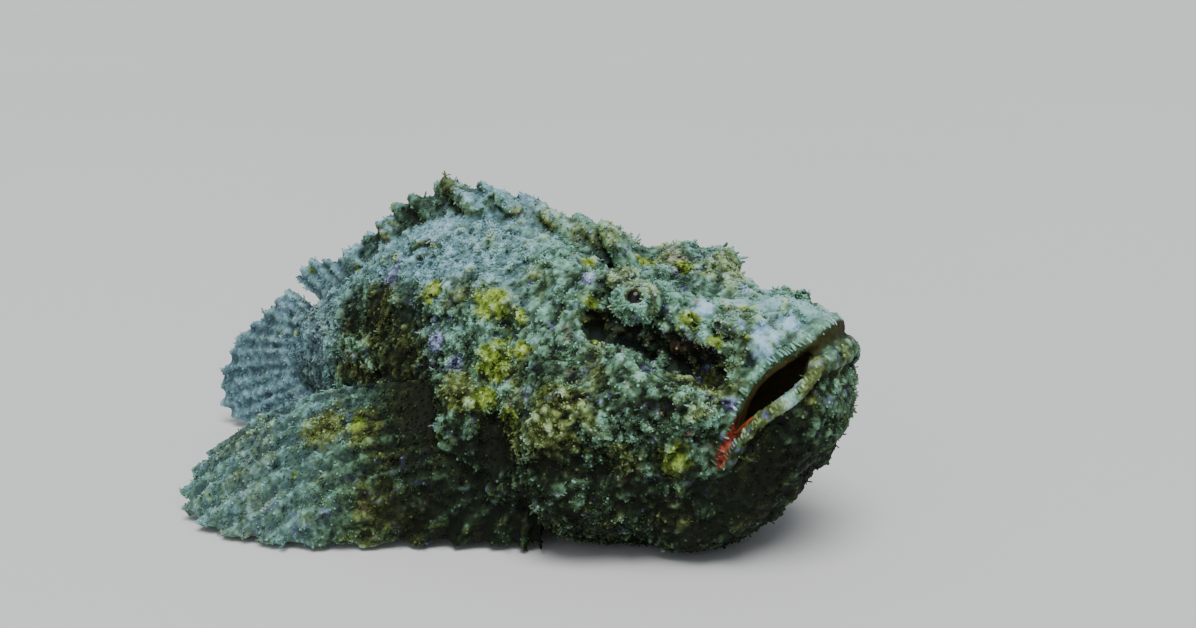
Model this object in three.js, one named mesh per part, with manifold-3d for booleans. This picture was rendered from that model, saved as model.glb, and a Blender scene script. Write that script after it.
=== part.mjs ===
// Reef stonefish, life size, resting on its belly with the upturned mouth ajar.
// Millimetres: X runs forward to the mouth, Y to the fish's left and Z up from the floor.

import * as THREE from "three";
import { mergeVertices } from "three/addons/utils/BufferGeometryUtils.js";
import Module from "manifold-3d";

const wasm = await Module();
wasm.setup();

// Driving dimensions
const GAP = 0.35; // between a node and what it grows from
const WELD = 0.01; // edges shorter than this are closed up
const BODY_COLUMNS = 48; // points round a section of the body
const ROWS_PER_RIB = 3; // sections between two ribs
const JAW_ROWS = 6; // sections from the chin's middle to the gape

// The body's side view, section by section from the gape to the tail root. top and bottom are [x, z], half is
// half the width, widest is how far up the section is widest, crown and keel are the superellipse powers of
// its upper and lower halves, and side shifts the section to the left.
const RIBS = [
  { top: [139, 87], bottom: [87, -1], half: 37, widest: 0.47, crown: 2.6, keel: 2.5, side: 0 },
  { top: [127, 95], bottom: [77, -1.2], half: 43, widest: 0.45, crown: 2.3, keel: 2.6, side: 0 },
  { top: [108, 98], bottom: [65, -1.2], half: 49, widest: 0.43, crown: 2.4, keel: 2.8, side: 0 },
  { top: [88, 98], bottom: [52, -0.6], half: 54, widest: 0.41, crown: 2.5, keel: 2.9, side: 0 },
  { top: [68, 102], bottom: [38, 2], half: 57, widest: 0.4, crown: 2.3, keel: 2.9, side: 0 },
  { top: [47, 109], bottom: [23, 3.5], half: 57, widest: 0.38, crown: 2.1, keel: 2.9, side: 0 },
  { top: [24, 116], bottom: [8, 3.5], half: 54, widest: 0.36, crown: 1.9, keel: 2.8, side: 0 },
  { top: [0, 120], bottom: [-8, 2], half: 49, widest: 0.34, crown: 1.75, keel: 2.7, side: 0 },
  { top: [-26, 117], bottom: [-26, -1], half: 42, widest: 0.33, crown: 1.7, keel: 2.6, side: 0 },
  { top: [-50, 106], bottom: [-45, 0.5], half: 34, widest: 0.35, crown: 1.7, keel: 2.4, side: 1 },
  { top: [-71, 90], bottom: [-65, 8], half: 26, widest: 0.4, crown: 1.8, keel: 2.2, side: 2.5 },
  { top: [-89, 76], bottom: [-85, 18], half: 17, widest: 0.45, crown: 2, keel: 2.1, side: 4.5 },
  { top: [-105, 67], bottom: [-103, 26], half: 9, widest: 0.5, crown: 2, keel: 2, side: 6.5 },
  { top: [-115, 64], bottom: [-114, 29], half: 4.8, widest: 0.5, crown: 2, keel: 2, side: 8 },
];

// The lower jaw is a blunt dome on the gape's plane, swung open about the line between the mouth's corners.
const MOUTH_CORNER = [113, 43]; // [x, z] of that line
const JAW_BULGE = 23;
const JAW_POWER_TOP = 2.2;
const JAW_POWER_BOTTOM = 2.4;
const JAW_LAST_ANGLE = 72; // degrees of the dome, so that it meets the throat at a slope
const JAW_OPEN = 24; // degrees at its most
const JAW_CLOSING = 0.85; // share of that which is lost towards the tip, where the lips nearly meet
const JAW_BEND_LENGTH = 45; // up from the corners, over which the jaw swings open
const JAW_DROP = 4; // of its tip under that of the upper jaw
const MOUTH_BOW = 6.5; // backwards, of the mouth's sides where they stand back most
const BOW_SKEW = 1.75; // puts that place over the middle of their height
const BOW_REACH = 40; // before and behind the gape
const BOW_SIDES = 15; // from the middle, where the bow is whole
const JAW_PARTING = 2.5; // degrees from the gape to the face between head and jaw
const RIM_DEPTH = 3; // of the jaw's solid behind its rim
const MOUTH_REACH = 22; // from the line between the corners to the middle of the mouth
const PALATE = [25, 25, 22]; // radii of the hollow in the upper jaw: up, across and deep
const MOUTH_FLOOR = [20, 23, 8]; // and in the lower jaw
const LIP_RADIUS = 3.2; // at the sides
const LIP_SWELL = 3.4; // added at the tip
const LIP_SWELL_REACH = 0.16; // of the lip's length, to each side of the tip
const LIP_INSET = 0.75; // of its radius, from the rim to the middle of the lip
const LIP_FRINGE = 17; // fleshy tassels on each lip
const FRINGE_LENGTH = 5;
const FRINGE_LEAN = { upper: 1, lower: 0.4 }; // towards the other lip

// Raised (+) and sunk (-) forms of the skin: a stroke from one point near the surface to another, how wide it
// reaches and how far it rises. Those off the middle are on both sides.
const FORMS = [
  { from: [83, 27, 96], to: [70, 27, 99], reach: 17, rise: 13 }, // mount of the eye
  { from: [92, 22, 97], to: [96, 17, 96], reach: 10, rise: 4 }, // ridge in front of the eye
  { from: [92, 0, 98], to: [76, 0, 100], reach: 14, rise: -5 }, // saddle between the eyes
  { from: [64, 38, 90], to: [82, 38, 86], reach: 9, rise: -8 }, // pit under the eye
  { from: [86, 38, 84], to: [107, 34, 79], reach: 11, rise: -12 }, // pit in front of it
  { from: [74, 48, 75], to: [96, 44, 70], reach: 10, rise: 4 }, // ledge under the pits
  { from: [112, 24, 90], to: [124, 20, 88], reach: 10, rise: 4 }, // nasal ridge
  { from: [121, 0, 97], to: [134, 0, 92], reach: 10, rise: 3 }, // middle of the snout
  { from: [96, 46, 58], to: [104, 42, 66], reach: 15, rise: 6 }, // cheek knob over the mouth's corner
  { from: [76, 52, 62], to: [84, 50, 56], reach: 14, rise: 6 }, // cheek
  { from: [56, 54, 70], to: [50, 56, 52], reach: 16, rise: 7 }, // gill cover's upper lump
  { from: [58, 55, 34], to: [66, 53, 26], reach: 16, rise: 6 }, // gill cover's lower lump
  { from: [28, 44, 86], to: [30, 53, 50], reach: 8, rise: -6 }, // gill slit, upper
  { from: [30, 53, 50], to: [44, 48, 14], reach: 8, rise: -5 }, // gill slit, lower
  { from: [52, 30, 101], to: [40, 26, 106], reach: 13, rise: 6 }, // lump on the back of the head
  { from: [60, 8, 103], to: [54, 0, 105], reach: 12, rise: -4 }, // hollow of the neck
  { from: [8, 34, 96], to: [-6, 33, 94], reach: 15, rise: 5 }, // shoulder
  { from: [10, 50, 60], to: [16, 52, 42], reach: 15, rise: 5 }, // muscle at the root of the pectoral fin
  { from: [104, 30, 10], to: [96, 34, 6], reach: 12, rise: 4 }, // throat
];

// Warts of the skin, set on the body by a seeded draw.
const WART_SEED = 7;
const WART_COUNT = 120;
const WART_REACH = [6, 10];
const WART_RISE = [1.8, 4.2];
const WART_LOWEST = 14; // height over the floor
const WART_SPACING = 0.72; // of two neighbours' reach

// Eyes
const EYE = { at: [80, 36, 100.8], look: [0.25, 0.87, 0.42], radius: 5.4 };
const LID_RADIUS = 2.4;
const LID_FLATNESS = 0.86; // height over width
const EYE_TASSELS = 6;

// Nostrils, two short tubes on each side of the snout: where they are near, and their outer and inner radius
const NOSTRILS = [
  { near: [120, 21, 92], outer: 2.6, inner: 1.3 },
  { near: [110, 27, 91], outer: 2.2, inner: 1.1 },
];
const NOSTRIL_HEIGHT = 2.4;

// Fins, on the fish's left. roots runs along the body and tips along the margin, both from the first ray to
// the last. arch lifts the middle of the rays, and thick is at the root and the margin.
const PECTORAL = {
  roots: [[-4, 44, 60], [10, 48, 48], [24, 48, 32], [36, 44, 16], [42, 38, 7]],
  tips: [[-108, 60, 17], [-104, 80, 6], [-78, 94, 2], [-40, 90, 2], [-4, 68, 2], [26, 54, 2], [46, 46, 2]],
  arch: [0, 2, 9],
  thick: [10, 3.4],
  rays: 14,
  ridge: 1,
  scallop: 4,
  steps: 8,
};
const PELVIC = {
  roots: [[46, 25, 9], [38, 29, 9], [30, 33, 9]],
  tips: [[-4, 20, 1.4], [-10, 32, 1.4], [-5, 45, 1.4], [13, 53, 1.4]],
  arch: [0, 0, 0],
  thick: [4, 2.6],
  rays: 6,
  ridge: 0.5,
  scallop: 2.5,
  steps: 7,
};
const CAUDAL = {
  roots: [[-100, 7, 63], [-104, 7, 46], [-100, 7, 30]],
  tips: [[-121, 8, 73], [-138, 10, 59], [-157, 12, 43], [-170, 15, 22], [-165, 14, 5], [-140, 12, 1]],
  arch: [0, 0, 0],
  thick: [9, 3],
  rays: 12,
  ridge: 0.8,
  scallop: 3,
  steps: 6,
};
const ANAL = {
  roots: [[-50, 1, 6], [-66, 3, 14], [-84, 5, 25]],
  tips: [[-60, 2, 1], [-84, 4, 1], [-104, 6, 6], [-108, 7, 16]],
  arch: [0, 0, 0],
  thick: [8, 3],
  rays: 8,
  ridge: 0.7,
  scallop: 2,
  steps: 5,
};
const SOFT_DORSAL = {
  roots: [[-66, 2, 86], [-80, 4, 76], [-92, 6, 68]],
  tips: [[-78, 3, 94], [-92, 5, 91], [-106, 6, 88], [-114, 7, 80]],
  arch: [0, 0, 0],
  thick: [8, 3],
  rays: 6,
  ridge: 0.7,
  scallop: 2.5,
  steps: 5,
};

// Spines of the dorsal fin in their thick sheaths, folded back along the ridge of the back
const SPINES = 13;
const SPINE_RIBS = [4.6, 9.95]; // of the first and the last
const SPINE_LENGTH = [24, 25, 16]; // of the first, the middle and the last
const SPINE_RADIUS = [5.6, 4];
const SPINE_LEAN = 47; // degrees from upright
const FIRST_SPINE_RISE = 22; // less for the first spine, and half of that for the second
const SPINE_SWAY = 0.16; // to either side by turns
const SPINE_SUNK = 6;
const WEB_HEIGHT = 8;
const SPINE_WEB = { arch: [0, 0, 0], thick: [7, 4], rays: SPINES, ridge: 0, scallop: 3, steps: 3 };

// Where the body is parted, by rib
const HEAD_END = 5.6;
const TRUNK_END = 10.4;

const FORWARD = new THREE.Vector3(1, 0, 0);
const LEFT = new THREE.Vector3(0, 1, 0);
const UP = new THREE.Vector3(0, 0, 1);
const v3 = (a) => new THREE.Vector3(...a);
const mix = (a, b, t) => a + (b - a) * t;
const clamp01 = (t) => Math.min(1, Math.max(0, t));
const smooth = (t) => clamp01(t) ** 2 * (3 - 2 * clamp01(t));

// A seeded draw from 0 to 1
function randomFrom(seed) {
  let state = seed >>> 0;
  return () => {
    state = (state + 0x6d2b79f5) >>> 0;
    let t = Math.imul(state ^ (state >>> 15), state | 1);
    t = (t + Math.imul(t ^ (t >>> 7), t | 61)) ^ t;
    return ((t ^ (t >>> 14)) >>> 0) / 4294967296;
  };
}

// Values at whole numbers of u, joined by a smooth curve
function along(values, u) {
  const last = values.length - 1;
  const i = Math.min(last - 1, Math.max(0, Math.floor(u)));
  const t = u - i;
  const [a, b, c, d] = [i - 1, i, i + 1, i + 2].map((k) => values[Math.min(last, Math.max(0, k))]);
  const slopes = 0.5 * (c - a) * t + 0.5 * (2 * a - 5 * b + 4 * c - d) * t * t;
  return b + slopes + 0.5 * (3 * b - a - 3 * c + d) * t * t * t;
}

const alongPoints = (points, u) => v3([0, 1, 2].map((k) => along(points.map((p) => p[k]), u)));

// The body's section at u, a number of ribs from the gape
function section(u) {
  const value = (pick) => along(RIBS.map(pick), u);
  return {
    top: new THREE.Vector3(value((r) => r.top[0]), value((r) => r.side), value((r) => r.top[1])),
    bottom: new THREE.Vector3(value((r) => r.bottom[0]), value((r) => r.side), value((r) => r.bottom[1])),
    half: value((r) => r.half),
    widest: value((r) => r.widest),
    crown: value((r) => r.crown),
    keel: value((r) => r.keel),
  };
}

const powerOf = (value, power) => Math.sign(value) * Math.abs(value) ** (2 / power);

// A point of a section: angle 0 is the top and a quarter turn is the left side
function sectionPoint(s, angle) {
  const [c, q] = [Math.cos(angle), Math.sin(angle)];
  const power = c > 0 ? s.crown : s.keel;
  const middle = s.bottom.clone().lerp(s.top, s.widest);
  const end = (c > 0 ? s.top : s.bottom).clone().sub(middle);
  const point = middle.addScaledVector(end, Math.abs(c) ** (2 / power));
  point.y += s.half * powerOf(q, power);
  return point;
}

const GAPE = section(0);
const GAPE_MIDDLE = GAPE.bottom.clone().lerp(GAPE.top, 0.5);
const GAPE_UP = GAPE.top.clone().sub(GAPE.bottom).normalize();
const GAPE_FORWARD = new THREE.Vector3(GAPE_UP.z, 0, -GAPE_UP.x);
const HINGE = new THREE.Vector3(MOUTH_CORNER[0], 0, MOUTH_CORNER[1]);
const GAPE_HEIGHT = GAPE.top.distanceTo(HINGE);

// How far the mouth's sides stand back at a height over its corners
const bowAt = (height) => MOUTH_BOW * Math.sin(Math.PI * clamp01(height / GAPE_HEIGHT) ** BOW_SKEW);

// Bends a point near the gape back with the mouth's sides
function bowed(point) {
  const away = point.clone().sub(HINGE);
  const sideways = smooth(Math.abs(point.y) / BOW_SIDES);
  const near = 1 - smooth(Math.abs(away.dot(GAPE_FORWARD)) / BOW_REACH);
  return point.addScaledVector(GAPE_FORWARD, -sideways * near * bowAt(away.dot(GAPE_UP)));
}

// Swings a point of the jaw open where it stands over the mouth's corners, and less so at the tip
function openJaw(point) {
  const from = point.clone().sub(HINGE);
  const height = from.dot(GAPE_UP);
  const toTip = clamp01(height / GAPE_HEIGHT) ** 4;
  const closing = JAW_CLOSING * toTip;
  const turn = THREE.MathUtils.degToRad(JAW_OPEN) * smooth(height / JAW_BEND_LENGTH) * (1 - closing);
  return from.addScaledVector(GAPE_UP, -JAW_DROP * toTip).applyAxisAngle(LEFT, turn).add(HINGE);
}

// A point of the jaw's dome: depth 0 is the middle of the chin and 1 the gape's plane
function jawPoint(depth, angle) {
  const power = mix(JAW_POWER_BOTTOM, JAW_POWER_TOP, 0.5 + 0.5 * Math.cos(angle));
  const last = THREE.MathUtils.degToRad(JAW_LAST_ANGLE);
  const [phi, k] = [depth * last, 2 / power];
  const grown = (Math.sin(phi) / Math.sin(last)) ** k;
  const bulge = (Math.cos(phi) ** k - Math.cos(last) ** k) / (1 - Math.cos(last) ** k);
  const point = GAPE_MIDDLE.clone().lerp(sectionPoint(GAPE, angle), grown);
  return openJaw(bowed(point.addScaledVector(GAPE_FORWARD, JAW_BULGE * bulge)));
}

const angles = [...Array(BODY_COLUMNS).keys()].map((k) => (k / BODY_COLUMNS) * 2 * Math.PI);
const bodySteps = (RIBS.length - 1) * ROWS_PER_RIB;
const bodyRows = [...Array(bodySteps + 1).keys()].map((i) => section(i / ROWS_PER_RIB));
const bodyGrid = bodyRows.map((s) => angles.map((a) => bowed(sectionPoint(s, a))));
const jawDepths = [...Array(JAW_ROWS).keys()].map((i) => (i + 1) / JAW_ROWS);
const jawGrid = jawDepths.map((d) => angles.map((a) => jawPoint(d, a)));

const sampled = bodyGrid.flat().concat(jawGrid.flat());
const nearer = (p) => (a, b) => (b.distanceToSquared(p) < a.distanceToSquared(p) ? b : a);
const nearestSkin = (p) => sampled.reduce(nearer(p));

// FORMS with their ends on the skin, and a mirrored twin for each that is off the middle
function placedForms() {
  const placed = [];
  for (const { from, to, reach, rise } of FORMS) {
    for (const side of from[1] || to[1] ? [1, -1] : [1]) {
      const ends = [from, to].map(([x, y, z]) => nearestSkin(new THREE.Vector3(x, side * y, z)));
      placed.push({ stroke: new THREE.Line3(...ends), reach, rise });
    }
  }
  return placed;
}

// Warts at seeded places on the body, none too near another, the gape or the eyes
function placedWarts() {
  const random = randomFrom(WART_SEED);
  const warts = [];
  for (let tries = 0; tries < 4000 && warts.length < WART_COUNT; tries++) {
    const u = -1 + random() * (RIBS.length - 1);
    const angle = random() * 2 * Math.PI;
    const at = u < 0 ? jawPoint(1 + u, angle) : bowed(sectionPoint(section(u), angle));
    const size = random();
    const reach = mix(WART_REACH[0], WART_REACH[1], size);
    const inGape = u < 0.45 && u > -0.3 && at.z > MOUTH_CORNER[1] - 6;
    const atEye = Math.hypot(at.x - EYE.at[0], Math.abs(at.y) - EYE.at[1], at.z - EYE.at[2]) < 14;
    const crowded = warts.some((w) => w.at.distanceTo(at) < WART_SPACING * (w.reach + reach));
    if (at.z < WART_LOWEST || inGape || atEye || crowded) continue;
    warts.push({ at, reach, rise: mix(WART_RISE[0], WART_RISE[1], size * random()) });
  }
  return warts;
}

const forms = placedForms();
const warts = placedWarts();
const dome = (distance, reach) => Math.max(0, 1 - (distance / reach) ** 2) ** 2;
const nearest = new THREE.Vector3();

// How far the skin stands out of its plain section at a point
function swell(point) {
  let rise = 0;
  for (const f of forms) {
    rise += f.rise * dome(f.stroke.closestPointToPoint(point, true, nearest).distanceTo(point), f.reach);
  }
  for (const w of warts) rise += w.rise * dome(w.at.distanceTo(point), w.reach);
  return rise;
}

// A closed geometry from shared points and faces of three or four corners
function meshOf(points, faces) {
  const index = faces.flatMap(([a, b, c, d]) => (d === undefined ? [a, b, c] : [a, b, c, a, c, d]));
  const positions = new Float32Array(points.flatMap((p) => [p.x, p.y, p.z]));
  return new THREE.BufferGeometry()
    .setAttribute("position", new THREE.BufferAttribute(positions, 3))
    .setIndex(index);
}

const middleOf = (ring) => ring.reduce((s, p) => s.add(p), new THREE.Vector3()).divideScalar(ring.length);

// A tube through rings of equal count, closed at both ends on the rings' middles
function tube(rings) {
  const n = rings[0].length;
  const points = [...rings.flat(), middleOf(rings[0]), middleOf(rings.at(-1))];
  const [first, last, end] = [n * rings.length, n * rings.length + 1, n * (rings.length - 1)];
  const faces = [];
  for (let k = 0; k < n; k++) {
    const next = (k + 1) % n;
    faces.push([first, next, k], [last, end + k, end + next]);
    for (let i = 0; i < end; i += n) faces.push([i + k, i + next, i + n + next, i + n + k]);
  }
  return meshOf(points, faces);
}

// A closed slab between two grids of equal size, cut into triangles alike on both
function slab(front, back) {
  const [m, n] = [front.length, front[0].length];
  const points = [...front.flat(), ...back.flat()];
  const [at, under] = [(i, k) => i * n + k, (i, k) => m * n + i * n + k];
  const faces = [];
  for (let i = 0; i < m - 1; i++) {
    for (let k = 0; k < n - 1; k++) {
      faces.push([at(i, k), at(i, k + 1), at(i + 1, k + 1), at(i + 1, k)]);
      faces.push([under(i, k), under(i + 1, k), under(i + 1, k + 1)]);
      faces.push([under(i, k), under(i + 1, k + 1), under(i, k + 1)]);
    }
  }
  const rim = [];
  for (let k = 0; k < n - 1; k++) rim.push([0, k]);
  for (let i = 0; i < m - 1; i++) rim.push([i, n - 1]);
  for (let k = n - 1; k > 0; k--) rim.push([m - 1, k]);
  for (let i = m - 1; i > 0; i--) rim.push([i, 0]);
  rim.forEach(([i, k], j) => {
    const [x, y] = rim[(j + 1) % rim.length];
    faces.push([at(i, k), under(i, k), under(x, y), at(x, y)]);
  });
  return meshOf(points, faces);
}

// The solid of a geometry, turned to face out
function solidOf(geometry) {
  const bare = geometry.clone();
  for (const name of Object.keys(bare.attributes)) if (name !== "position") bare.deleteAttribute(name);
  const merged = mergeVertices(bare, 1e-4);
  const triVerts = new Uint32Array(merged.index.array);
  const vertProperties = merged.attributes.position.array;
  const solid = () => new wasm.Manifold(new wasm.Mesh({ numProp: 3, vertProperties, triVerts }));
  const made = solid();
  if (made.volume() > 0) return made;
  for (let i = 0; i < triVerts.length; i += 3) {
    [triVerts[i + 1], triVerts[i + 2]] = [triVerts[i + 2], triVerts[i + 1]];
  }
  return solid();
}

const joined = (solids) => solids.reduce((a, b) => a.add(b));
const largest = (solid) => solid.decompose().reduce((a, b) => (b.volume() > a.volume() ? b : a));

function geometryOf(solid) {
  const { vertProperties, triVerts, numProp } = solid.getMesh();
  const positions = new Float32Array((vertProperties.length / numProp) * 3);
  for (let i = 0; i < positions.length / 3; i++) {
    positions.set(vertProperties.subarray(i * numProp, i * numProp + 3), i * 3);
  }
  const geometry = new THREE.BufferGeometry()
    .setAttribute("position", new THREE.BufferAttribute(positions, 3))
    .setIndex(new THREE.BufferAttribute(triVerts, 1));
  return partTouching(geometry);
}

// Corners of one surface that meet at a point without sharing an edge are drawn apart, each into its own side
function partTouching(geometry) {
  geometry.computeVertexNormals();
  const { position, normal } = geometry.attributes;
  const corners = geometry.index.array;
  const pointAt = (i) => new THREE.Vector3().fromBufferAttribute(position, i);
  const places = new Map();
  for (let i = 0; i < position.count; i++) {
    const place = pointAt(i).multiplyScalar(1000).round().toArray().join();
    places.set(place, [...(places.get(place) ?? []), i]);
  }
  const edges = new Set();
  corners.forEach((a, i) => edges.add(a + "," + corners[i % 3 === 2 ? i - 2 : i + 1]));
  for (const shared of places.values()) {
    if (shared.some((a) => shared.some((b) => edges.has(a + "," + b)))) continue;
    for (const i of shared.length > 1 ? shared : []) {
      const out = new THREE.Vector3().fromBufferAttribute(normal, i);
      position.setXYZ(i, ...pointAt(i).addScaledVector(out, -2 * WELD));
    }
  }
  return geometry.deleteAttribute("normal");
}

// An ellipsoid, its radii along the three given directions
function ellipsoid(at, radii, directions, [across, tall] = [20, 12]) {
  const frame = new THREE.Matrix4().makeBasis(...directions).setPosition(at);
  const shape = new THREE.SphereGeometry(1, across, tall);
  return solidOf(shape.applyMatrix4(new THREE.Matrix4().makeScale(...radii)).applyMatrix4(frame));
}

const ball = (at, radius) => ellipsoid(at, [radius, radius, radius], [FORWARD, LEFT, UP], [14, 8]);

// All that lies behind a plane, seen from the side that its normal points to
function behind(point, normal) {
  const size = 800;
  const box = new THREE.BoxGeometry(size, size, size).translate(0, 0, -size / 2);
  const turn = new THREE.Quaternion().setFromUnitVectors(UP, normal.clone().normalize());
  return solidOf(box.applyQuaternion(turn).translate(...point));
}

// A tapered rod of flesh along points, round or with few sides
function horn(points, radii, sides) {
  const rings = points.map((point, i) => {
    const ahead = points[Math.min(i + 1, points.length - 1)].clone();
    const way = ahead.sub(points[Math.max(i - 1, 0)]).normalize();
    const across = new THREE.Vector3().crossVectors(way, Math.abs(way.z) > 0.9 ? FORWARD : UP).normalize();
    const over = new THREE.Vector3().crossVectors(across, way);
    return [...Array(sides).keys()].map((k) => {
      const turn = (k / sides) * 2 * Math.PI;
      const out = across.clone().multiplyScalar(Math.cos(turn)).addScaledVector(over, Math.sin(turn));
      return point.clone().addScaledVector(out, radii[i]);
    });
  });
  return solidOf(tube(rings));
}

// The outward direction at a point of a grid of rings
function outAt(grid, i, k) {
  const n = grid[i].length;
  const round = grid[i][(k + 1) % n].clone().sub(grid[i][(k + n - 1) % n]);
  const back = grid[Math.min(i + 1, grid.length - 1)][k].clone().sub(grid[Math.max(i - 1, 0)][k]);
  return round.cross(back).normalize();
}

// The skin of a grid: each point pushed out by the forms, the warts and a growth, and none under the floor
function skin(grid, growth = 0) {
  return grid.map((ring, i) =>
    ring.map((point, k) => {
      const moved = point.clone().addScaledVector(outAt(grid, i, k), swell(point) + growth);
      moved.z = Math.max(-growth, moved.z);
      return moved;
    }),
  );
}

// The point of the head's skin that is nearest to a point, and the direction out of the skin there
function onSkin(point) {
  const grid = skin(bodyGrid);
  let best = { far: Infinity };
  grid.forEach((ring, i) =>
    ring.forEach((at, k) => {
      const far = at.distanceTo(point);
      if (far < best.far) best = { far, at, out: outAt(grid, i, k) };
    }),
  );
  return best;
}

// The body from the gape's plane to the tail root, and the jaw in front of it, which reaches a little behind
// its own rim
const bodySolid = (growth) => solidOf(tube(skin(bodyGrid, growth)));
function jawSolid(growth) {
  const rings = skin(jawGrid, growth);
  const back = GAPE_FORWARD.clone().applyAxisAngle(LEFT, THREE.MathUtils.degToRad(JAW_PARTING));
  const inside = rings.at(-1).map((p) => p.clone().lerp(GAPE_MIDDLE, 0.04).addScaledVector(back, -RIM_DEPTH));
  return solidOf(tube([...rings, inside]));
}

// Everything ahead of the gape: over the mouth's corners its face runs through the open mouth
function frontPrism() {
  const between = GAPE_UP.clone().applyAxisAngle(LEFT, THREE.MathUtils.degToRad(JAW_PARTING));
  const reach = 400;
  const high = HINGE.clone().addScaledVector(between, reach);
  const low = HINGE.clone().addScaledVector(GAPE_UP, -reach);
  const bow = [...Array(11).keys()].map((k) => {
    const height = (k / 10) * GAPE_HEIGHT;
    return HINGE.clone().addScaledVector(between, height).addScaledVector(GAPE_FORWARD, -bowAt(height));
  });
  const far = [high, low].map((p) => p.clone().addScaledVector(GAPE_FORWARD, reach));
  const outline = new THREE.Shape([...bow, high, ...far, low].map((p) => new THREE.Vector2(p.x, p.z)));
  const prism = new THREE.ExtrudeGeometry(outline, { depth: reach, bevelEnabled: false, steps: 1 });
  return solidOf(prism.translate(0, 0, -reach / 2).rotateX(Math.PI / 2));
}

// A lip along the rim of the mouth between its corners, with its fringe standing out of it
function lip(rim, inward, lean, random) {
  const height = (p) => p.clone().sub(HINGE).dot(GAPE_UP);
  const start = rim.findIndex((p) => height(p) < 2);
  const turned = [...rim.slice(start), ...rim.slice(0, start)].filter((p) => height(p) >= 2);
  const inset = inward.clone().multiplyScalar(LIP_RADIUS * LIP_INSET);
  const curve = new THREE.CatmullRomCurve3(turned.map((p) => p.clone().add(inset)));
  const steps = 22;
  const path = curve.getSpacedPoints(steps);
  const swell = (t) => LIP_SWELL * dome(t - 0.5, LIP_SWELL_REACH);
  const radiusAt = (t) => LIP_RADIUS * (0.75 + 0.25 * Math.sin(Math.PI * t)) + swell(t);
  const solids = [horn(path, path.map((_, i) => radiusAt(i / steps)), 7)];
  const middle = HINGE.clone().addScaledVector(GAPE_UP, MOUTH_REACH);
  for (let i = 0; i < LIP_FRINGE; i++) {
    const t = (i + 0.5) / LIP_FRINGE;
    const root = curve.getPointAt(t);
    const out = root.clone().sub(middle).normalize();
    out.addScaledVector(inward, -lean * mix(0.8, 1.2, random()));
    out.addScaledVector(LEFT, 0.3 * (random() - 0.5)).normalize();
    const long = FRINGE_LENGTH * mix(0.7, 1.2, random());
    const points = [-0.5, 0.5, 1].map((s) => root.clone().addScaledVector(out, radiusAt(t) * 0.6 + long * s));
    solids.push(horn(points, [1.8, 1.5, 0.5], 3));
  }
  return solids;
}

// The eye's own frame on one side: forward over the eye, up and out along its look
function eyeFrame(side) {
  const [at, look] = [v3(EYE.at), v3(EYE.look).normalize()];
  at.y *= side;
  look.y *= side;
  const along = new THREE.Vector3().crossVectors(UP, look).normalize();
  return { at, look, along, over: look.clone().cross(along) };
}

// The lids round the eye with a few tassels, and the hollow that holds the ball
function lids(side, random) {
  const { at, look, along, over } = eyeFrame(side);
  const [sides, reach] = [14, EYE.radius + 0.9];
  const onRing = (turn, radius, lift) => {
    const point = at.clone().addScaledVector(look, lift).addScaledVector(along, radius * Math.cos(turn));
    return point.addScaledVector(over, LID_FLATNESS * radius * Math.sin(turn));
  };
  const ring = (lift, grow) =>
    [...Array(sides).keys()].map((k) => onRing((k / sides) * 2 * Math.PI, reach + LID_RADIUS * grow, lift));
  const rounded = [[-10, 1.6], [-3, 1.6], [1.2, 1.1], [2.8, 0.3], [2.4, -0.4], [1.5, -0.9]];
  const solids = [solidOf(tube(rounded.map(([lift, grow]) => ring(lift, grow))))];
  for (let i = 0; i < EYE_TASSELS; i++) {
    const turn = ((i + 0.5 * random()) / EYE_TASSELS) * 2 * Math.PI;
    const points = [0, 4.5, 7].map((rise) => onRing(turn, reach + 1.5 + rise * 0.6, rise * 0.6));
    solids.push(horn(points, [1.8, 1.3, 0.5], 4));
  }
  return solids;
}

// Two short tubes on one side of the snout, each open at its top
function nostrils(side) {
  return NOSTRILS.map(({ near, outer, inner }) => {
    const { at, out } = onSkin(new THREE.Vector3(near[0], side * near[1], near[2]));
    const across = new THREE.Vector3().crossVectors(out, UP).normalize();
    const over = out.clone().cross(across);
    const ring = (lift, radius) =>
      [...Array(8).keys()].map((k) => {
        const turn = (k / 8) * 2 * Math.PI;
        const away = across.clone().multiplyScalar(Math.cos(turn)).addScaledVector(over, Math.sin(turn));
        return at.clone().addScaledVector(out, lift).addScaledVector(away, radius);
      });
    const outside = [ring(-3, outer * 1.3), ring(0, outer * 1.2), ring(NOSTRIL_HEIGHT, outer)];
    return solidOf(tube([...outside, ring(NOSTRIL_HEIGHT, inner), ring(0.4, inner)]));
  });
}

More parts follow.
